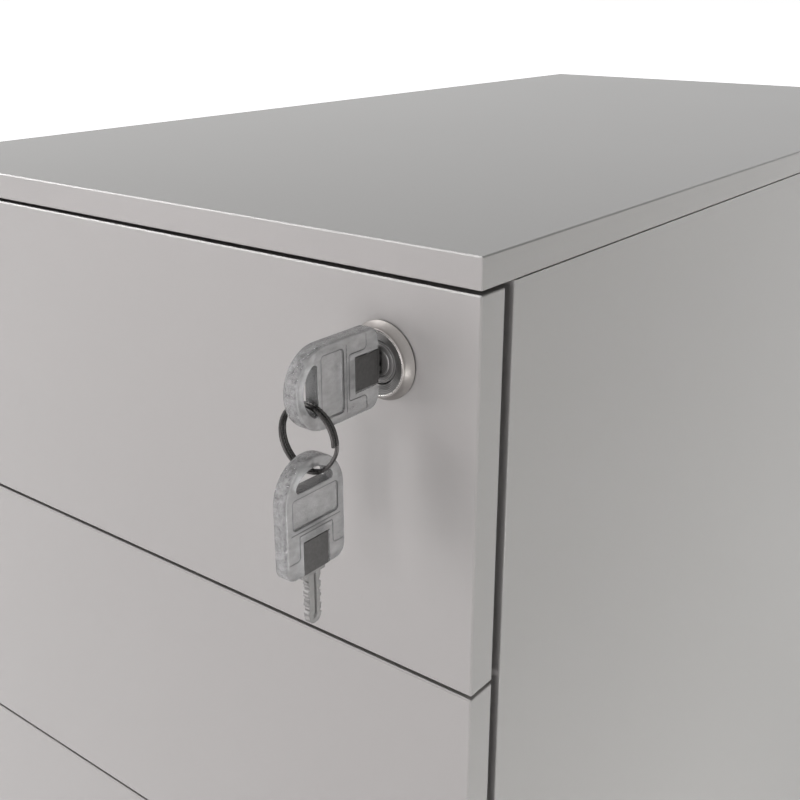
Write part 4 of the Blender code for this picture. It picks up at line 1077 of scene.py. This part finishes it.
def makeWheels(name, node, origin, axes, body):
    # each wheel turned from two profiles: a tyre with round shoulders and two grooves, and a
    # dished hub
    d = castor
    inner = d["web"] + d["play"]
    outer = inner + d["width"]
    tyre = d["wheel"]
    bead, shoulder, back = d["tyre"]
    line = (inner + outer) / 2
    t = sweep(0, 90, 6)
    rise, fall = shoulder * (1 - np.sin(t)), shoulder * (1 - np.cos(t))
    one, two, three, four = d["tread"]
    low, grooves = tyre - d["treadDepth"], []
    for side in (1, -1):
        groove = [(tyre, one), (low, two), (low, three), (tyre, four)][::side]
        grooves += [(radius, line + side * place) for radius, place in groove]
    profile = [(bead, outer - back), *zip(tyre - rise, outer - fall), *grooves,
               *zip(tyre - fall, inner + rise), (bead, inner), (bead, outer - back)]
    dish = [(d["bore"], inner), (d["hub"][0][0], inner)]
    dish += [(radius, outer - depth) for radius, depth in d["hub"]]
    tread = [quadsOf(turnedShape(profile, (0, 0, 0), (side, 0, 0), 72)) for side in (1, -1)]
    hub = [turnedShape(dish, (0, 0, 0), (side, 0, 0), 72) for side in (1, -1)]
    reach = inner + d["hubJoin"]
    hub.append(turnedShape([(d["bore"], -reach), (d["bore"], reach)], (0, 0, 0), (1, 0, 0), 32))
    for part, shapes, finish in (("_tread", tread, treadRubber), ("_hub", hub, greyPlastic)):
        shape = moved(gather(*shapes), origin, axes)
        made = piece(name + part, shape, finish, body, 32.0)
        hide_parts(node)


def makeBrake(name, node, origin, axes, body):
    # a barrel on its pin, a flat pedal behind it, and grip ribs across the pedal
    d = pedal
    half, barrel, centre = d["half"], d["barrel"], (0, pivot, d["height"])
    radius, edge = d["barrelEdge"]
    turned = [(radius, -half), (barrel, edge - half), (barrel, half - edge), (radius, half)]
    reach = half + d["play"] + d["ear"]
    top = d["height"] + d["rise"] * barrel
    shapes = [
        turnedShape(turned, centre, (1, 0, 0), 32),
        turnedShape([(d["pin"], -reach), (d["pin"], reach)], centre, (1, 0, 0), 20),
        boxShape((-half, pivot, top - d["thickness"]), (half, pivot + d["length"], top), d["edge"]),
    ]
    ribHalf = half - d["ribInset"]
    below, above = d["ribHeight"]
    for start in pivot + d["ribStart"] + d["ribPitch"] * np.arange(d["ribs"]):
        shapes.append(boxShape(
            (-ribHalf, start, top - below), (ribHalf, start + d["rib"], top + above), d["ribEdge"]
        ))
    made = piece(name, moved(gather(*shapes), origin, axes), blackPlastic, body)
    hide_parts(node)


def makeCastors():
    # the front pair trails forwards and is braked, the rear pair trails backwards
    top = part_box("castor_front_left_hood")[1].z
    off = castor["boltSpacing"] / 2
    for end, facing in (("front", -1), ("rear", 1)):
        for hand in ("left", "right"):
            name = f"castor_{end}_{hand}"
            plate = middle(name + "_plate")
            stem = (plate.x, plate.y, 0.0)
            axes = ((facing, 0, 0), (0, facing, 0), (0, 0, 1))
            braked = end == "front"
            makeHood(name + "_shell", name + "_hood", stem, axes, name + "_swivel", top, braked)
            axle = (plate.x, plate.y + facing * castor["trail"], castor["wheel"])
            makeWheels(name, name + "_wheels", axle, axes, name + "_wheels")
            if braked:
                makeBrake(name + "_pedal", name + "_brake", stem, axes, name + "_brake")
            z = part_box(name + "_plate")[1].z - castor["plate"]
            bolts = [
                turnedShape(castor["bolt"], (plate.x + x, plate.y + y, z), (0, 0, 1), 20)
                for x in (-off, off) for y in (-off, off)
            ]
            piece(name + "_bolts", gather(*bolts), brightZinc, "cabinet")


makeCastors()
print("castors assembled")


# finishes of the CAD pieces that keep their shape; the others are zinc-plated sheet
kept = {
    steelPaint: (
        "back_panel", "base_pan", "front_top_rail", "rear_upright_left", "rear_upright_right",
        "drawer_1_box", "drawer_2_box", "drawer_3_box",
    ),
    brightZinc: ("lock_nut", "lock_cam"),
    greyPlastic: ("bar_guide_upper", "bar_guide_lower"),
}


def dressCad():
    # gives each CAD piece that is still shown its finish
    chosen = {node: finish for finish, group in kept.items() for node in group}
    for node, made in nodes.items():
        if made.hide_render:
            continue
        made.data.materials.clear()
        made.data.materials.append(chosen.get(node, zincSteel))


dressCad()


# rivets behind and screws inside: radius and height of the heads, and where they sit
fastener = {
    "rivet": (3.2 * mm, 1.1 * mm), "rivetsAt": (-100 * mm, -35 * mm, 35 * mm, 100 * mm),
    "screw": (3.6 * mm, 1.7 * mm), "screwEdge": 0.8 * mm, "screwsAt": (-80 * mm, 80 * mm),
    "rows": {1: (24 * mm, 58 * mm), 2: (24 * mm, 58 * mm), 3: (40 * mm, 190 * mm)},   # by drawer
    "socket": ((1.5 * mm, 0.0), (1.4 * mm, 0.9 * mm), (0.1 * mm, 1.1 * mm)),          # radius, depth
    "bite": 0.3 * mm, "crown": 0.05 * mm,
}


def rivetHead():
    # a low dome, a quarter of an ellipse with a tiny flat crown, sunk a little into the sheet
    radius, height = fastener["rivet"]
    t = sweep(0, 90, 6)
    dome = np.column_stack([radius * np.cos(t), height * np.sin(t)])
    dome[-1, 0] = fastener["crown"]
    return [(radius, -fastener["bite"]), *dome.tolist()]


def screwHead():
    # a flat head with a rounded edge and a round socket
    (radius, height), edge = fastener["screw"], fastener["screwEdge"]
    t = sweep(0, 90, 5)
    pan = np.column_stack([radius - edge + edge * np.cos(t), height - edge + edge * np.sin(t)])
    socket = [(r, height - depth) for r, depth in fastener["socket"]]
    return [(radius, -fastener["bite"]), *pan.tolist(), *socket]


def makeHeads(name, profile, xs, y, zs, body):
    # one turned head at each crossing of the columns and rows, facing back
    heads = [turnedShape(profile, (x, y, z), (0, 1, 0), 24) for x in xs for z in zs]
    piece(name, gather(*heads), brightZinc, body, 40.0)


def makeFasteners():
    # rivets along the foot of the back, and screws inside each drawer front
    back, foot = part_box("back_panel")[1], middle("base_pan")
    makeHeads("back_rivets", rivetHead(), fastener["rivetsAt"], back.y, [foot.z], "cabinet")
    for number, rows in fastener["rows"].items():
        low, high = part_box(f"drawer_{number}_front")
        zs = [low.z + row for row in rows]
        makeHeads(f"front_screws_{number}", screwHead(), fastener["screwsAt"], high.y, zs,
                  f"drawer_{number}")


makeFasteners()
print("rivets set")


# studio: pale floor, white surroundings, soft lamps
studio = {
    "ground": (0.80, 0.80, 0.80), "reach": 40.0, "floorRoughness": 0.6, "floorGrain": 40.0,
    "glow": (0.55, 1.0, 3.0),               # under the cabinet, far away, and how far that is
    "world": 0.09,                          # the light that the white surroundings give
    "lamps": [
        # name, place, aimed at, size, watts, colour
        ("front_lamp", (-1.9, -2.85, 0.18), (0.0, -0.2, 0.22), (2.1, 2.1), 41.5, (1.0, 0.95, 0.968)),
        ("low_lamp", (0.3, -2.4, 0.25), (0.0, -0.25, 0.25), (1.2, 1.2), 21.5, (1.0, 0.955, 0.972)),
        ("side_lamp", (1.05, -0.12, 0.03), (0.15, -0.05, 0.10), (0.22, 0.22), 7.2, (1.0, 1.0, 0.985)),
        ("back_lamp", (-0.75, 2.3, 0.28), (-0.1, 0.3, 0.28), (1.7, 0.5), 21.0, (1.0, 1.0, 1.0)),
    ],
    # overhead, flat and unturned: it draws the bright line along the folded edges
    "strip": ("edge_strip", (-1.95, -0.71, 2.09), (2.6, 0.18), 46.0),
}


def makeFloor():
    # one large square
    reach = studio["reach"]
    mesh = bpy.data.meshes.new("floor")
    corners = [(-reach, -reach, 0), (reach, -reach, 0), (reach, reach, 0), (-reach, reach, 0)]
    mesh.from_pydata(corners, [], [(0, 1, 2, 3)])
    floor = bpy.data.objects.new("floor", mesh)
    bpy.context.scene.collection.objects.link(floor)
    ground = Finish("pale_floor", studio["ground"], studio["floorRoughness"])
    ground.shades(ground.noise(studio["floorGrain"], 3.0), studio["ground"], 0.985, 1.0)
    # the camera and reflections see the floor glow, so that it meets the white background
    rays = [ground.node("LightPath", {}, {}, f"Is {kind} Ray") for kind in ("Camera", "Glossy")]
    # the glow grows with the square of the distance from the cabinet, up to a limit
    east, north = ground.axis("X"), ground.axis("Y")
    near, far, limit = studio["glow"]
    away = ((east * east + north * north) / limit ** 2).clamped()
    ground.set("Emission Color", (rays[0] + rays[1]) * (away * (far - near) + near))
    ground.set("Emission Strength", 1.0)
    mesh.materials.append(ground.material)


def makeWorld():
    # white to the camera, in reflections and through clear plastic, and a weak light otherwise
    world = bpy.data.worlds.new("white_room")
    bpy.context.scene.world = world
    world.use_nodes = True
    tree = world.node_tree
    tree.nodes.clear()
    rays = tree.nodes.new("ShaderNodeLightPath").outputs
    camera, glossy, through = [
        Val(tree, rays[f"Is {kind} Ray"]) for kind in ("Camera", "Glossy", "Transmission")
    ]
    seen = (camera + glossy + through).clamped()
    back = tree.nodes.new("ShaderNodeBackground")
    plug(tree, back.inputs["Color"], (1.0, 1.0, 1.0))
    plug(tree, back.inputs["Strength"], seen * (1 - studio["world"]) + studio["world"])
    out = tree.nodes.new("ShaderNodeOutputWorld")
    tree.links.new(back.outputs[0], out.inputs[0])


def makeLamp(name, shape, place, size, watts):
    # an area lamp that faces down until it is turned
    lamp = bpy.data.lights.new(name, "AREA")
    lamp.shape = shape
    lamp.size, lamp.size_y = size
    lamp.energy = watts
    made = bpy.data.objects.new(name, lamp)
    made.location = place
    bpy.context.scene.collection.objects.link(made)
    return made


def makeStudio():
    # each lamp's back points away from what it is aimed at
    makeFloor()
    makeWorld()
    for name, place, aim, size, watts, colour in studio["lamps"]:
        made = makeLamp(name, "ELLIPSE", place, size, watts)
        made.data.color = colour
        made.rotation_euler = (Vector(place) - Vector(aim)).to_track_quat("Z", "Y").to_euler()
    name, place, size, watts = studio["strip"]
    makeLamp(name, "RECTANGLE", place, size, watts)
    bpy.context.scene.view_settings.view_transform = "Standard"


makeStudio()
print("studio lit")
